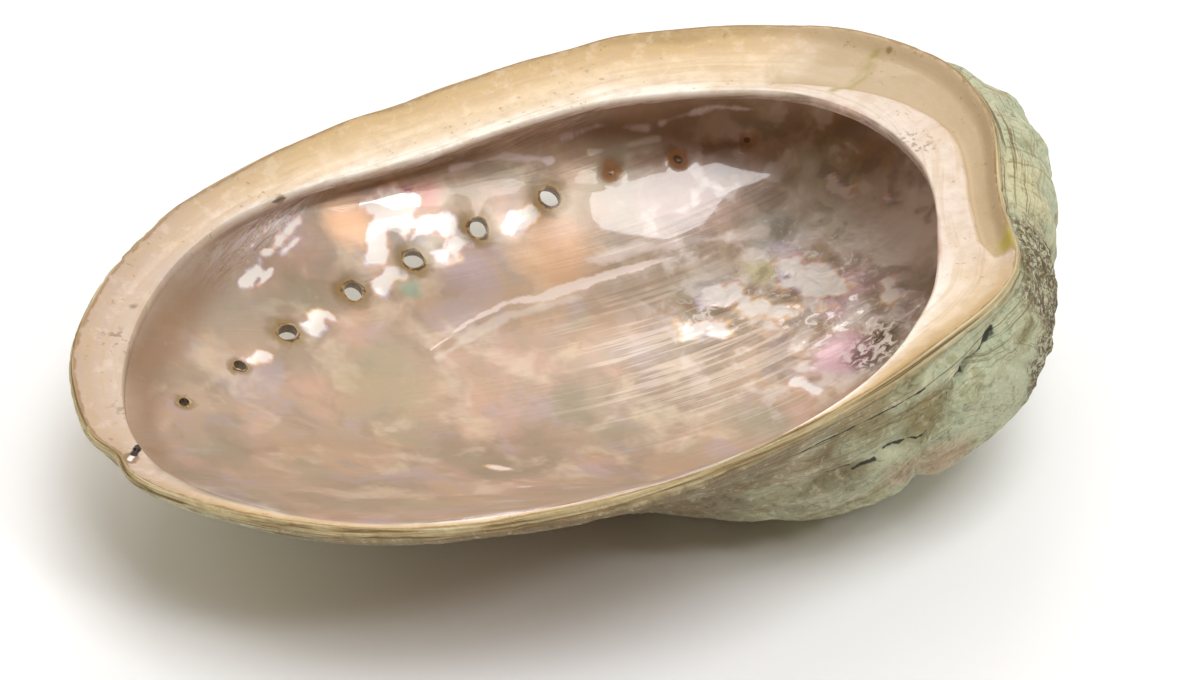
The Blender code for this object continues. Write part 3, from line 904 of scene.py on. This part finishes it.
def lineGap(tree, place, points, through=None):
    # Distance from a place to the nearest of the straight runs through points, seen along through
    best = None
    for start, end in zip(points, points[1:]):
        first = restPlace @ Vector(start)
        run = restPlace @ Vector(end) - first
        offset = vectorCalc(tree, "SUBTRACT", place, first)
        if through is not None:
            depth = vectorCalc(tree, "DOT_PRODUCT", offset, through)
            offset = vectorCalc(tree, "SUBTRACT", offset, vectorCalc(tree, "SCALE", through, depth))
            run = run - through * run.dot(through)
        share = vectorCalc(tree, "DOT_PRODUCT", offset, run / run.length_squared)
        share = addNode(tree, "ShaderNodeClamp", {"Value": share}).outputs["Result"]
        gap = vectorCalc(tree, "DISTANCE", offset, vectorCalc(tree, "SCALE", run, share))
        if through is not None:
            deep = calc(tree, "GREATER_THAN", calc(tree, "ABSOLUTE", depth), outside["slitDepth"])
            gap = calc(tree, "ADD", gap, deep)
        best = gap if best is None else calc(tree, "MINIMUM", best, gap)
    return best


def nearLine(tree, place, points, far, near, pattern, wander, through=None):
    return within(tree, uneven(tree, lineGap(tree, place, points, through), pattern, wander), far, near)


def poreDistance(tree, place, centre, axis):
    offset = vectorCalc(tree, "SUBTRACT", place, restPlace @ Vector(centre))
    heading = restTurn.to_3x3() @ Vector(axis)
    return vectorCalc(tree, "LENGTH", vectorCalc(tree, "CROSS_PRODUCT", offset, heading))


def paint(tree, colour, tint, share, strength=1.0):
    # Lay a tint, a screen colour or another node's colour, over a colour
    tint = sRgb(*tint) if isinstance(tint, tuple) else tint
    return blendColour(tree, times(tree, share, strength), colour, tint)


def paintPlaces(tree, colour, places, place, inner, ragged):
    for point, reach, strength, tint in places:
        colour = paint(tree, colour, tint, nearness(tree, place, point, reach, inner, ragged), strength)
    return colour


def paintLayers(tree, colour, layers, patterns):
    for pattern, ends, zone, strength, tint in layers:
        share = fade(tree, patterns[pattern], *ends)
        share = times(tree, share, patterns[zone]) if zone else share
        colour = paint(tree, colour, tint, share, strength)
    return colour


# Colours are screen colours. A layer holds its pattern, where it starts and is full, the zone it keeps to,
# its strength and its colour. Patches, flashes and the like hold place, reach, strength and colour.
nacreFinish = {
    "base": [(0.28, (152, 138, 116)), (0.42, (168, 146, 124)), (0.52, (182, 156, 132)),
             (0.62, (190, 160, 132)), (0.74, (170, 152, 140))],
    "baseScale": 46.0,
    # soft clouds of colour over the whole nacre: scale, shift, where one starts and is full, strength, colour
    "clouds": [
        (60.0, (0.3, 0.1, 0.7), (0.50, 0.68), 0.45, (164, 162, 136)),
        (75.0, (0.9, 0.5, 0.2), (0.50, 0.68), 0.42, (212, 168, 150)),
        (90.0, (0.4, 0.8, 0.6), (0.52, 0.70), 0.42, (182, 166, 174)),
        (110.0, (0.7, 0.2, 0.9), (0.50, 0.68), 0.45, (230, 210, 182)),
        (140.0, (0.1, 0.6, 0.4), (0.52, 0.66), 0.32, (150, 128, 106)),
    ],
    "roughness": 0.30,
    "metallic": 0.10,
    "coatLow": 0.15,
    "coatHigh": 1.0,
    "coatRoughness": 0.035,
    "flashes": [
        ((-0.0496, 0.0347, -0.0107), 0.014, 0.60, (166, 156, 140)),
        ((-0.0281, 0.0158, -0.0250), 0.014, 0.50, (170, 160, 128)),
        ((-0.0216, 0.0460, -0.0132), 0.007, 0.85, (240, 186, 138)),
        ((0.0120, 0.0344, -0.0272), 0.012, 0.65, (226, 176, 130)),
        ((-0.0124, 0.0423, -0.0180), 0.005, 0.80, (152, 144, 138)),
        ((-0.0042, 0.0356, -0.0240), 0.008, 0.65, (176, 156, 160)),
        ((-0.0099, 0.0482, -0.0128), 0.003, 0.85, (178, 84, 112)),
        ((-0.0064, 0.0474, -0.0140), 0.004, 0.75, (220, 152, 144)),
        ((-0.0163, 0.0343, -0.0225), 0.0030, 0.60, (136, 176, 152)),
        ((0.0404, 0.0377, -0.0269), 0.016, 0.75, (164, 134, 120)),
        # this pale patch is painted light on the wall at the spire end, which lies in shade
        ((0.0690, 0.0080, -0.0285), 0.018, 0.90, (238, 226, 214)),
        ((0.0620, 0.0230, -0.0280), 0.013, 0.80, (226, 220, 200)),
        ((0.0640, 0.0300, -0.0260), 0.008, 0.70, (220, 222, 200)),
        ((0.0504, 0.0250, -0.0315), 0.008, 0.70, (176, 182, 172)),
        ((0.0500, 0.0200, -0.0335), 0.005, 0.65, (206, 184, 206)),
        ((0.0455, 0.0190, -0.0345), 0.005, 0.70, (214, 210, 158)),
        ((0.0360, 0.0200, -0.0348), 0.008, 0.50, (206, 196, 188)),
        ((0.0565, 0.0050, -0.0330), 0.0065, 0.85, (226, 192, 192)),
        ((0.0523, 0.0015, -0.0340), 0.0055, 0.80, (226, 194, 196)),
        ((0.0455, -0.0100, -0.0347), 0.0080, 0.95, (218, 176, 190)),
        ((0.0540, -0.0180, -0.0290), 0.008, 0.60, (176, 156, 136)),
        ((0.0700, 0.0300, -0.0225), 0.011, 0.60, (158, 128, 80)),
        ((0.0595, -0.0080, -0.0310), 0.007, 0.60, (200, 184, 178)),
    ],
    # long soft bands: points, half width, strength, colour
    "bands": [
        ([(0.0403, 0.0463, -0.0156), (0.0502, 0.0445, -0.0149), (0.0565, 0.0420, -0.0165)],
         0.0007, 0.9, (255, 244, 255)),
        ([(0.0180, 0.0490, -0.0130), (0.0285, 0.0489, -0.0133), (0.0372, 0.0467, -0.0158)],
         0.0007, 0.8, (250, 236, 250)),
        ([(0.0258, 0.0472, -0.0170), (0.0386, 0.0454, -0.0180)], 0.0006, 0.7, (226, 216, 200)),
        ([(0.0000, 0.0500, -0.0120), (0.0100, 0.0497, -0.0130), (0.0180, 0.0478, -0.0160)],
         0.0006, 0.7, (240, 226, 226)),
        # this pale band and the last one are painted sheen along the crest of the fold
        ([(0.0172, 0.0324, -0.0291), (0.0272, 0.0323, -0.0301), (0.0381, 0.0300, -0.0314),
          (0.0487, 0.0266, -0.0319)], 0.0013, 0.60, (232, 214, 204)),
        ([(0.0286, 0.0458, -0.0211), (0.0355, 0.0443, -0.0210), (0.0435, 0.0428, -0.0214),
          (0.0544, 0.0410, -0.0224)], 0.0013, 0.75, (134, 98, 66)),
        # painted sheen below the crest of the fold
        ([(-0.0180, 0.0195, -0.0270), (-0.0020, 0.0262, -0.0292), (0.0123, 0.0262, -0.0309)],
         0.0008, 0.45, (226, 214, 200)),
    ],
    # painted sheen and painted shade on pillowy patches of the wall at the spire end
    "wallLayers": [
        ("pillow", (0.50, 0.64), "busy", 0.55, (240, 230, 222)),
        ("pillow", (0.48, 0.36), "busy", 0.50, (134, 116, 100)),
    ],
    "busyPlace": (0.056, 0.010, -0.030),
    "busyReach": 0.046,
    "pocketReach": 0.0068,
    "pocketTint": (226, 184, 192),
    # faint streaks over the floor of the bowl, painted pale as the sheen they catch
    "floorLayers": [("streaksAndSheen", (0.50, 0.60), "floor", 0.45, (232, 214, 194))],
    "floorPlace": (0.0230, 0.0060, -0.0360),
    "floorReach": 0.032,
    # the band in the hollow under the shelf; at the front end it is painted tan, the shade of the inner wall
    # there
    "hollowTones": [(0.40, (158, 136, 122)), (0.45, (200, 182, 176)), (0.49, (244, 228, 240)),
                    (0.53, (186, 172, 142)), (0.57, (232, 214, 212)), (0.63, (255, 252, 255))],
    "frontWallShade": (150, 120, 92),
    # painted shade in the creases of the muscle scar and painted glints on it, strongest where it is crumpled
    # like foil, with painted dark shade between the glints there
    "scarLayers": [
        ("creases", (0.45, 0.34), "scar", 0.40, (130, 112, 94)),
        ("glintsAndShade", (0.56, 0.62), "scar", 0.55, (246, 238, 228)),
        ("glintsAndShade", (0.50, 0.44), "foil", 0.80, (92, 78, 68)),
        ("glintsAndShade", (0.50, 0.56), "foil", 1.00, (246, 238, 228)),
    ],
    "foilPlace": (0.0507, -0.0125, -0.0332),
    "foilReach": 0.0075,
    # painted highlights on the swellings beside the pores and the other bright places, with their coloured
    # edges, and a painted highlight along the crest of the fold
    "highlightFringe": [(0.40, (244, 196, 136)), (0.50, (236, 184, 172)), (0.60, (216, 204, 222))],
    "brightLayers": [
        ("paintedHighlight", (0.34, 0.80), None, 0.92, (246, 238, 228)),
        ("crest", (0.62, 0.80), None, 0.75, (238, 220, 208)),
    ],
    # a painted highlight along the thin ridge through the front pores
    "ridgeHighlight": (232, 206, 178),
    # rings round a pore: outer and inner end in pore widths, strength, colour
    "openRings": [(1.30, 0.75, 0.75, (138, 114, 74)), (0.82, 0.64, 0.60, (168, 132, 66)),
                  (0.66, 0.52, 0.90, (76, 50, 24))],
    "closedRings": [(0.80, 0.40, 0.75, (164, 116, 70)), (0.22, 0.12, 0.80, (84, 58, 34))],
    # painted shade deep in the notch's pit
    "pitShade": (40, 28, 16),
}


# Fine streaks over the floor of the bowl: grooves in the bump, and painted pale as their sheen
def streaksAndSheen(tree, place):
    turned = addNode(tree, "ShaderNodeMapping", {
        "Vector": place, "Rotation": (0.0, 0.0, math.radians(-14)), "Scale": (48.0, 1250.0, 110.0),
    }, vector_type="POINT").outputs["Vector"]
    return cloud(tree, turned, 1.0, 3.0, 0.3)


def crumple(tree, place):
    return cloud(tree, place, 190.0, 2.0, 0.7, 0.5)


def nacreColour(tree, place, rough, fine):
    look = nacreFinish
    patterns = {
        "pillow": cloud(tree, place, 170.0, 3.0, 0.25, 0.5),
        "busy": nearness(tree, place, look["busyPlace"], look["busyReach"], 0.55, rough, 0.3),
        "streaksAndSheen": streaksAndSheen(tree, place),
        "floor": nearness(tree, place, look["floorPlace"], look["floorReach"], 0.3, rough),
        "creases": crumple(tree, place),
        "glintsAndShade": cloud(tree, place, 520.0, 3.0, 0.8, 0.6),
        "scar": mark(tree, "scar"),
        "foil": nearness(tree, place, look["foilPlace"], look["foilReach"], 0.4, rough),
        "paintedHighlight": uneven(tree, mark(tree, "paintedHighlight"), fine, 0.9),
        "crest": uneven(tree, mark(tree, "crestHighlight"), fine, 0.5),
    }
    colour = ramp(tree, cloud(tree, place, look["baseScale"], 3.0, 0.8), look["base"])
    for scale, shift, ends, strength, tint in look["clouds"]:
        moved = cloud(tree, vectorCalc(tree, "ADD", place, shift), scale, 3.0, 0.3, 0.55)
        colour = paint(tree, colour, tint, fade(tree, moved, *ends), strength)
    colour = paintPlaces(tree, colour, look["flashes"], place, 0.2, rough)
    for points, width, strength, tint in look["bands"]:
        share = nearLine(tree, place, points, 1.5 * width, 0.3 * width, rough, 5 * width)
        colour = paint(tree, colour, tint, share, strength)
    # Painted sheen and shade on pillowy patches of the spire-end wall
    colour = paintLayers(tree, colour, look["wallLayers"], patterns)
    pocket = nearness(tree, place, lining["pocketCentre"], look["pocketReach"], 0.5, rough, 0.4)
    colour = paint(tree, colour, look["pocketTint"], pocket, 0.85)
    # Painted sheen along the fine streaks of the floor
    colour = paintLayers(tree, colour, look["floorLayers"], patterns)
    streaks = stretched(tree, "run", 42.0, "inward", 520.0, 4.0, 1.4, 0.62)
    # The band under the shelf, with painted tan shade on the inner wall at the front end
    hollow = paint(tree, ramp(tree, streaks, look["hollowTones"]), look["frontWallShade"], mark(tree, "leftEnd"))
    colour = paint(tree, colour, hollow, mark(tree, "hollow"), 0.85)
    # Painted shade in the scar's creases, and painted glints with painted shade between them
    colour = paintLayers(tree, colour, look["scarLayers"], patterns)
    # Painted highlights with coloured edges on the swellings and bright places, and along the crest
    highlightFringe = ramp(tree, rough, look["highlightFringe"])
    colour = paint(tree, colour, highlightFringe, fade(tree, patterns["paintedHighlight"], 0.12, 0.50), 0.60)
    colour = paintLayers(tree, colour, look["brightLayers"], patterns)
    # Painted highlight along the thin ridge through the front pores
    colour = paint(tree, colour, look["ridgeHighlight"], mark(tree, "ridgeLine"), 0.7)

    # Brown rings round the open pores, and brown patches where old pores are grown shut
    for centre, axis, width, isOpen in poreFrames()[:-1]:
        gap = uneven(tree, poreDistance(tree, place, centre, axis), fine, 0.0026)
        for far, near, strength, tint in look["openRings" if isOpen else "closedRings"]:
            colour = paint(tree, colour, tint, within(tree, gap, far * width, near * width), strength)
    # Painted shade deep in the notch's pit
    pit = nearLine(tree, place, notch["dark"], 0.0009, 0.0005, fine, 0.0010)
    return paint(tree, colour, look["pitShade"], pit)


creamFinish = {
    "tones": [(0.00, (176, 146, 92)), (0.14, (206, 174, 122)), (0.40, (222, 194, 150)),
              (0.72, (230, 208, 176)), (0.94, (248, 240, 226))],
    "frontTint": (196, 172, 154),
    "palePlace": (0.071, -0.006, -0.002),
    "paleReach": 0.052,
    "paleTint": (222, 206, 192),
    "roughness": 0.48,
    "coat": 0.14,
    "layers": [
        ("lines", (0.50, 0.36), None, 0.35, (198, 168, 122)),
        ("chalk", (0.52, 0.36), None, 0.30, (196, 172, 142)),
        ("chalk", (0.52, 0.66), None, 0.18, (250, 240, 226)),
        ("blotch", (0.52, 0.66), None, 0.20, (206, 174, 122)),
        # the sunken trough is painted darker tan: painted shade in the recess
        ("trough", (0.20, 0.75), None, 0.85, (184, 160, 120)),
    ],
    "rimTint": (150, 112, 62),   # a thin worn line of olive and brown along the lip
    "speckLayers": [("specks", (0.64, 0.70), "rare", 0.45, (138, 106, 72))],
    # pitted stretches of the inner side: place, reach
    "pitted": [((-0.0700, 0.0220, -0.0022), 0.0050), ((-0.0720, 0.0050, -0.0022), 0.0060),
               ((0.0660, -0.0020, -0.0020), 0.0060)],
    "pittedTint": (128, 104, 84),
    # small marks: place, size, colour
    "spots": [
        ((0.0641, -0.0361, -0.0001), 0.0042, (178, 164, 52)),
        ((0.0682, -0.0029, -0.0020), 0.0008, (90, 62, 34)),
        ((0.0758, 0.0240, -0.0010), 0.0010, (130, 100, 50)),
        ((0.0741, 0.0152, -0.0015), 0.0010, (150, 112, 60)),
        ((-0.0329, 0.0464, -0.0035), 0.0012, (110, 80, 50)),
        ((-0.0372, 0.0450, -0.0035), 0.0010, (130, 96, 60)),
        ((-0.0650, 0.0300, -0.0022), 0.0010, (130, 110, 90)),
    ],
    "healedTint": (150, 140, 50),
    # a thin dark crack at the shelf's inner edge
    "crack": [(-0.0440, 0.0428, -0.0030), (-0.0372, 0.0452, -0.0033), (-0.0318, 0.0468, -0.0035)],
    "crackWidth": 0.00022,
    "crackTint": (74, 50, 34),
    # lines of the notch: outer and inner end, colour; the pale line is painted light of the floor seen
    # through the slot, the dark line painted shade in the pit
    "notchLines": [("slot", 0.0015, 0.0009, (150, 122, 90)), ("slot", 0.0006, 0.0003, (244, 238, 230)),
                   ("dark", 0.0009, 0.0005, (34, 24, 14))],
}


def creamColour(tree, place, rough, fine):
    look = creamFinish
    specks = cloud(tree, place, 900.0, 2.0)
    patterns = {
        "lines": stretched(tree, "run", 30.0, "inward", 700.0, 3.0, 0.4, 0.6),
        "chalk": cloud(tree, place, 300.0, 4.0, 0.2, 0.65),
        "blotch": rough,
        "trough": uneven(tree, mark(tree, "trough"), rough, 0.9),
        "specks": specks,
        "rare": fade(tree, rough, 0.48, 0.60),
    }
    across = uneven(tree, mark(tree, "shelfShare"), cloud(tree, place, 34.0, 3.0, 0.6), 0.5)
    colour = ramp(tree, across, look["tones"])
    colour = paint(tree, colour, look["frontTint"], mark(tree, "leftEnd"), 0.85)
    spireEnd = nearness(tree, place, look["palePlace"], look["paleReach"], 0.5, rough, 0.2)
    colour = paint(tree, colour, look["paleTint"], spireEnd, 0.85)
    colour = paintLayers(tree, colour, look["layers"], patterns)
    rim = within(tree, uneven(tree, mark(tree, "inward"), fine, 0.0016), 0.0006, 0.0001)
    colour = paint(tree, colour, look["rimTint"], rim, 0.75)

    # Pits, spots, cracks and the notch
    colour = paintLayers(tree, colour, look["speckLayers"], patterns)
    for point, reach in look["pitted"]:
        share = times(tree, nearness(tree, place, point, reach, 0.3, rough), fade(tree, specks, 0.54, 0.60))
        colour = paint(tree, colour, look["pittedTint"], share, 0.6)
    for point, reach, tint in look["spots"]:
        colour = paint(tree, colour, tint, nearness(tree, place, point, reach, 0.3, fine, 1.4), 0.8)
    colour = paint(tree, colour, look["healedTint"], mark(tree, "ledgeCrack"), 0.85)
    width = look["crackWidth"]
    crack = nearLine(tree, place, look["crack"], 1.6 * width, 0.5 * width, fine, 0.0012)
    colour = paint(tree, colour, look["crackTint"], crack, 0.8)
    for name, far, near, tint in look["notchLines"]:
        colour = paint(tree, colour, tint, nearLine(tree, place, notch[name], far, near, fine, 0.0010))
    return colour


crustFinish = {
    "tones": [(0.30, (132, 124, 84)), (0.42, (172, 174, 136)), (0.50, (196, 200, 166)),
              (0.58, (178, 188, 156)), (0.70, (222, 218, 184))],
    "roughness": 0.70,
    "patches": [
        # the first, wide dark brown patch is painted shade on the near underside, which also darkens the
        # light it throws onto the floor's shadow
        ((-0.0250, -0.0500, -0.0150), 0.066, 0.85, (120, 96, 64)),
        ((0.0253, -0.0587, -0.0060), 0.0080, 0.80, (132, 114, 62)),
        ((0.0365, -0.0553, -0.0110), 0.0075, 0.80, (132, 118, 68)),
        ((0.0418, -0.0531, -0.0253), 0.0080, 0.70, (190, 160, 134)),
        ((0.0329, -0.0544, -0.0223), 0.0060, 0.60, (182, 154, 128)),
        ((0.0517, -0.0525, -0.0177), 0.0110, 0.65, (196, 200, 168)),
        ((0.0760, -0.0200, -0.0060), 0.0120, 0.60, (216, 206, 160)),
        ((0.0200, -0.0555, -0.0180), 0.0080, 0.55, (124, 112, 78)),
    ],
    "bodyLayers": [
        ("pink", (0.58, 0.70), None, 0.40, (196, 172, 148)),
        ("growth", (0.46, 0.36), None, 0.45, (118, 94, 56)),
        ("mottle", (0.54, 0.66), None, 0.35, (64, 52, 32)),
        ("mottle", (0.44, 0.34), None, 0.30, (232, 228, 200)),
    ],
    # thin layers along the lip, with yellow and brown lines that fade downward
    "lipTones": [(0.36, (104, 80, 46)), (0.45, (158, 136, 90)), (0.54, (184, 166, 122)),
                 (0.66, (212, 198, 160))],
    "lipLayers": [("lipLines", (0.47, 0.38), "belowLip", 0.85, (118, 94, 56))],
    # the thick brown crust with its pale grains
    "crustShare": [(0.44, 0.15), (0.54, 0.95)],
    "crustTint": (90, 66, 34),
    "grainLayers": [("grit", (0.42, 0.34), "crust", 0.80, (214, 206, 178))],
    # black slits: points, half width
    "slits": [
        ([(0.0525, -0.0510, -0.0052), (0.0490, -0.0522, -0.0072), (0.0431, -0.0543, -0.0085)], 0.00036),
        ([(0.0431, -0.0543, -0.0085), (0.0360, -0.0555, -0.0130), (0.0290, -0.0573, -0.0145)], 0.00012),
        ([(0.0268, -0.0560, -0.0158), (0.0236, -0.0560, -0.0170)], 0.00026),
        ([(0.0230, -0.0560, -0.0158), (0.0196, -0.0560, -0.0160)], 0.00020),
        ([(0.0370, -0.0590, -0.0062), (0.0250, -0.0600, -0.0058), (0.0120, -0.0600, -0.0060)], 0.00014),
    ],
    "slitTint": (16, 12, 8),
}


def crustColour(tree, place, rough, fine):
    look = crustFinish
    drop = mark(tree, "drop")
    patterns = {
        "pink": cloud(tree, place, 45.0, 2.0, 0.5),
        "growth": stretched(tree, "age", 34.0, "run", 12.0, 4.0, 0.2, 0.7),
        "mottle": cloud(tree, place, 620.0, 3.0, 0.5, 0.7),
        "lipLines": stretched(tree, "run", 40.0, "drop", 1500.0, 3.0, 0.3, 0.6),
        "belowLip": within(tree, drop, 0.018, 0.003),
        "grit": cloud(tree, place, 1150.0, 3.0, 0.6, 0.7),
        "crust": mark(tree, "crust"),
    }
    colour = ramp(tree, cloud(tree, place, 95.0, 5.0, 1.0, 0.62), look["tones"])
    colour = paintPlaces(tree, colour, look["patches"], place, 0.3, rough)
    colour = paintLayers(tree, colour, look["bodyLayers"], patterns)
    lip = within(tree, uneven(tree, drop, fine, 0.0030), 0.0030, 0.0008)
    colour = paint(tree, colour, ramp(tree, patterns["lipLines"], look["lipTones"]), lip, 0.9)
    colour = paintLayers(tree, colour, look["lipLayers"], patterns)
    thick = ramp(tree, patterns["grit"], look["crustShare"])
    colour = paint(tree, colour, look["crustTint"], patterns["crust"], thick)
    colour = paintLayers(tree, colour, look["grainLayers"], patterns)
    facing = Vector(outside["slitFacing"]).normalized()
    for points, width in look["slits"]:
        slit = nearLine(tree, place, points, 1.6 * width, 0.7 * width, fine, 0.0010, facing)
        colour = paint(tree, colour, look["slitTint"], slit, 0.92)
    return colour


# Heights of the finest relief, in metres
bumps = {"grain": 0.00030, "crustFine": 0.00050, "shelfRough": 0.00020, "shelfFine": 0.00014,
         "foil": 0.0011, "streaksAndSheen": 0.00005, "nacreRough": 0.00008}


def surfaceMaterial(name):
    material = bpy.data.materials.new(name)
    material.use_nodes = True
    tree = material.node_tree
    place = addNode(tree, "ShaderNodeTexCoord").outputs["Object"]
    rough = cloud(tree, place, 130.0, 4.0, 0.5)
    fine = cloud(tree, place, 420.0, 3.0, 0.4)
    coat = 0.0
    metal = 0.0
    if name == "outside":
        colour = crustColour(tree, place, rough, fine)
        gloss = crustFinish["roughness"]
        height = times(tree, cloud(tree, place, 1300.0, 3.0, 0.2, 0.6), bumps["grain"])
        height = calc(tree, "MULTIPLY_ADD", fine, bumps["crustFine"], height)
    elif name == "shelf":
        colour = creamColour(tree, place, rough, fine)
        gloss = creamFinish["roughness"]
        coat = creamFinish["coat"]
        height = calc(tree, "MULTIPLY_ADD", rough, bumps["shelfRough"], times(tree, fine, bumps["shelfFine"]))
    else:
        nacre = mark(tree, "nacre")
        colour = blendColour(tree, nacre, creamColour(tree, place, rough, fine),
                             nacreColour(tree, place, rough, fine))
        gloss = blendValue(tree, nacre, creamFinish["roughness"], nacreFinish["roughness"])
        polish = ramp(tree, uneven(tree, mark(tree, "polish"), rough, 1.2),
                      [(0.42, nacreFinish["coatLow"]), (0.50, nacreFinish["coatHigh"])])
        coat = blendValue(tree, nacre, creamFinish["coat"], polish)
        metal = times(tree, nacre, nacreFinish["metallic"])
        foil = times(tree, crumple(tree, place), times(tree, mark(tree, "scar"), bumps["foil"]))
        height = calc(tree, "MULTIPLY_ADD", streaksAndSheen(tree, place), bumps["streaksAndSheen"], foil)
        height = calc(tree, "MULTIPLY_ADD", rough, bumps["nacreRough"], times(tree, nacre, height))
    bump = addNode(tree, "ShaderNodeBump", {"Height": height, "Strength": 1.0, "Distance": 1.0})
    shader = tree.nodes["Principled BSDF"]
    for socket, value in (("Base Color", colour), ("Roughness", gloss), ("Coat Weight", coat),
                          ("Metallic", metal), ("Normal", bump.outputs["Normal"])):
        plug(tree, shader.inputs[socket], value)
    shader.inputs["IOR"].default_value = 1.5
    shader.inputs["Coat Roughness"].default_value = nacreFinish["coatRoughness"]
    return material


# Floor, light and camera
studio = {
    "floorTone": 0.94,
    "floorReach": 6.0,
    "floorRoughness": 0.9,
    "floorSpecular": 0.1,
    # a soft dome: dim and warm near the floor, brighter above
    "horizonTone": (1.0, 0.50, 0.22),
    "zenithTone": (1.0, 0.98, 0.95),
    "horizonStrength": 0.10,
    "zenithStrength": 0.40,
    "domeRise": (0.64, 0.99),
    # broad soft glows: toward, spread, radiance
    "glows": [((0.31, 0.67, 0.67), (0.78, 0.99), (0.95, 0.92, 0.88)),
              ((-0.80, 0.30, 0.50), (0.64, 0.99), (0.72, 0.67, 0.62))],
    # place, size across and along, radiance, tint, aimed at the shell
    "panels": {
        "overheadPanel": ((0.26, -0.60, 1.98), (1.12, 1.18), 6.7, (0.96, 1.0, 1.04)),
        "frontPanel": ((0.80, -1.44, 1.80), (0.34, 0.34), 22.0, (1.0, 0.99, 0.97)),
        "scarPanel": ((0.33, 1.20, 1.50), (1.10, 0.30), 6.0, (1.0, 1.0, 1.0)),
    },
}


def makeFloor():
    reach = studio["floorReach"]
    data = bpy.data.meshes.new("paleFloor")
    corners = [(-reach, -reach, 0), (reach, -reach, 0), (reach, reach, 0), (-reach, reach, 0)]
    data.from_pydata(corners, [], [(0, 1, 2, 3)])
    floor = bpy.data.objects.new("paleFloor", data)
    bpy.context.scene.collection.objects.link(floor)
    material = bpy.data.materials.new("palePaper")
    material.use_nodes = True
    shader = material.node_tree.nodes["Principled BSDF"]
    plug(material.node_tree, shader.inputs["Base Color"], (studio["floorTone"],) * 3)
    shader.inputs["Roughness"].default_value = studio["floorRoughness"]
    shader.inputs["Specular IOR Level"].default_value = studio["floorSpecular"]
    data.materials.append(material)


def makeLights():
    world = bpy.data.worlds.new("studioWorld")
    world.use_nodes = True
    tree = world.node_tree
    background = tree.nodes["Background"]
    heading = addNode(tree, "ShaderNodeTexCoord").outputs["Generated"]
    height = addNode(tree, "ShaderNodeSeparateXYZ", {"Vector": heading}).outputs["Z"]
    rise = within(tree, height, *studio["domeRise"])
    tone = blendColour(tree, rise, studio["horizonTone"], studio["zenithTone"])
    strength = blendValue(tree, rise, studio["horizonStrength"], studio["zenithStrength"])
    light = blendColour(tree, 1.0, tone, strength, "MULTIPLY")
    for toward, spread, radiance in studio["glows"]:
        facing = vectorCalc(tree, "DOT_PRODUCT", heading, Vector(toward).normalized())
        glow = blendColour(tree, 1.0, within(tree, facing, *spread), radiance, "MULTIPLY")
        light = blendColour(tree, 1.0, light, glow, "ADD")
    tree.links.new(light, background.inputs["Color"])
    bpy.context.scene.world = world
    for name, (place, size, radiance, tint) in studio["panels"].items():
        light = bpy.data.lights.new(name, "AREA")
        light.shape = "RECTANGLE"
        light.size = size[0]
        light.size_y = size[1]
        light.energy = radiance * math.pi * size[0] * size[1]
        light.color = tint
        panel = bpy.data.objects.new(name, light)
        panel.location = place
        panel.rotation_euler = (-Vector(place)).to_track_quat("-Z", "Y").to_euler()
        bpy.context.scene.collection.objects.link(panel)


view = {
    "place": (-0.16213, -0.34622, 0.32846),
    "aim": (-0.01023, -0.02238, 0.03923),
    "lens": 87.354,
    "sensor": 36.0,
    "clip": 0.01,
}


def makeCamera():
    lens = bpy.data.cameras.new("photoCamera")
    lens.lens = view["lens"]
    lens.sensor_width = view["sensor"]
    lens.clip_start = view["clip"]
    camera = bpy.data.objects.new("photoCamera", lens)
    camera.location = view["place"]
    camera.rotation_euler = (Vector(view["aim"]) - Vector(view["place"])).to_track_quat("-Z", "Y").to_euler()
    bpy.context.scene.collection.objects.link(camera)
    bpy.context.scene.camera = camera


makeCamera()
makeLights()
makeFloor()
bpy.context.scene.view_settings.view_transform = "Standard"
print("camera, lights and floor are in place")

shell = makeShell()
print("fine surface of the shell:", len(shell.data.polygons), "faces")
cutPores(shell)
print("pores cut:", len(shell.data.polygons), "faces")
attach(shell, "root")
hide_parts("shell")
print("nacre, cream shelf and outside crust are finished")
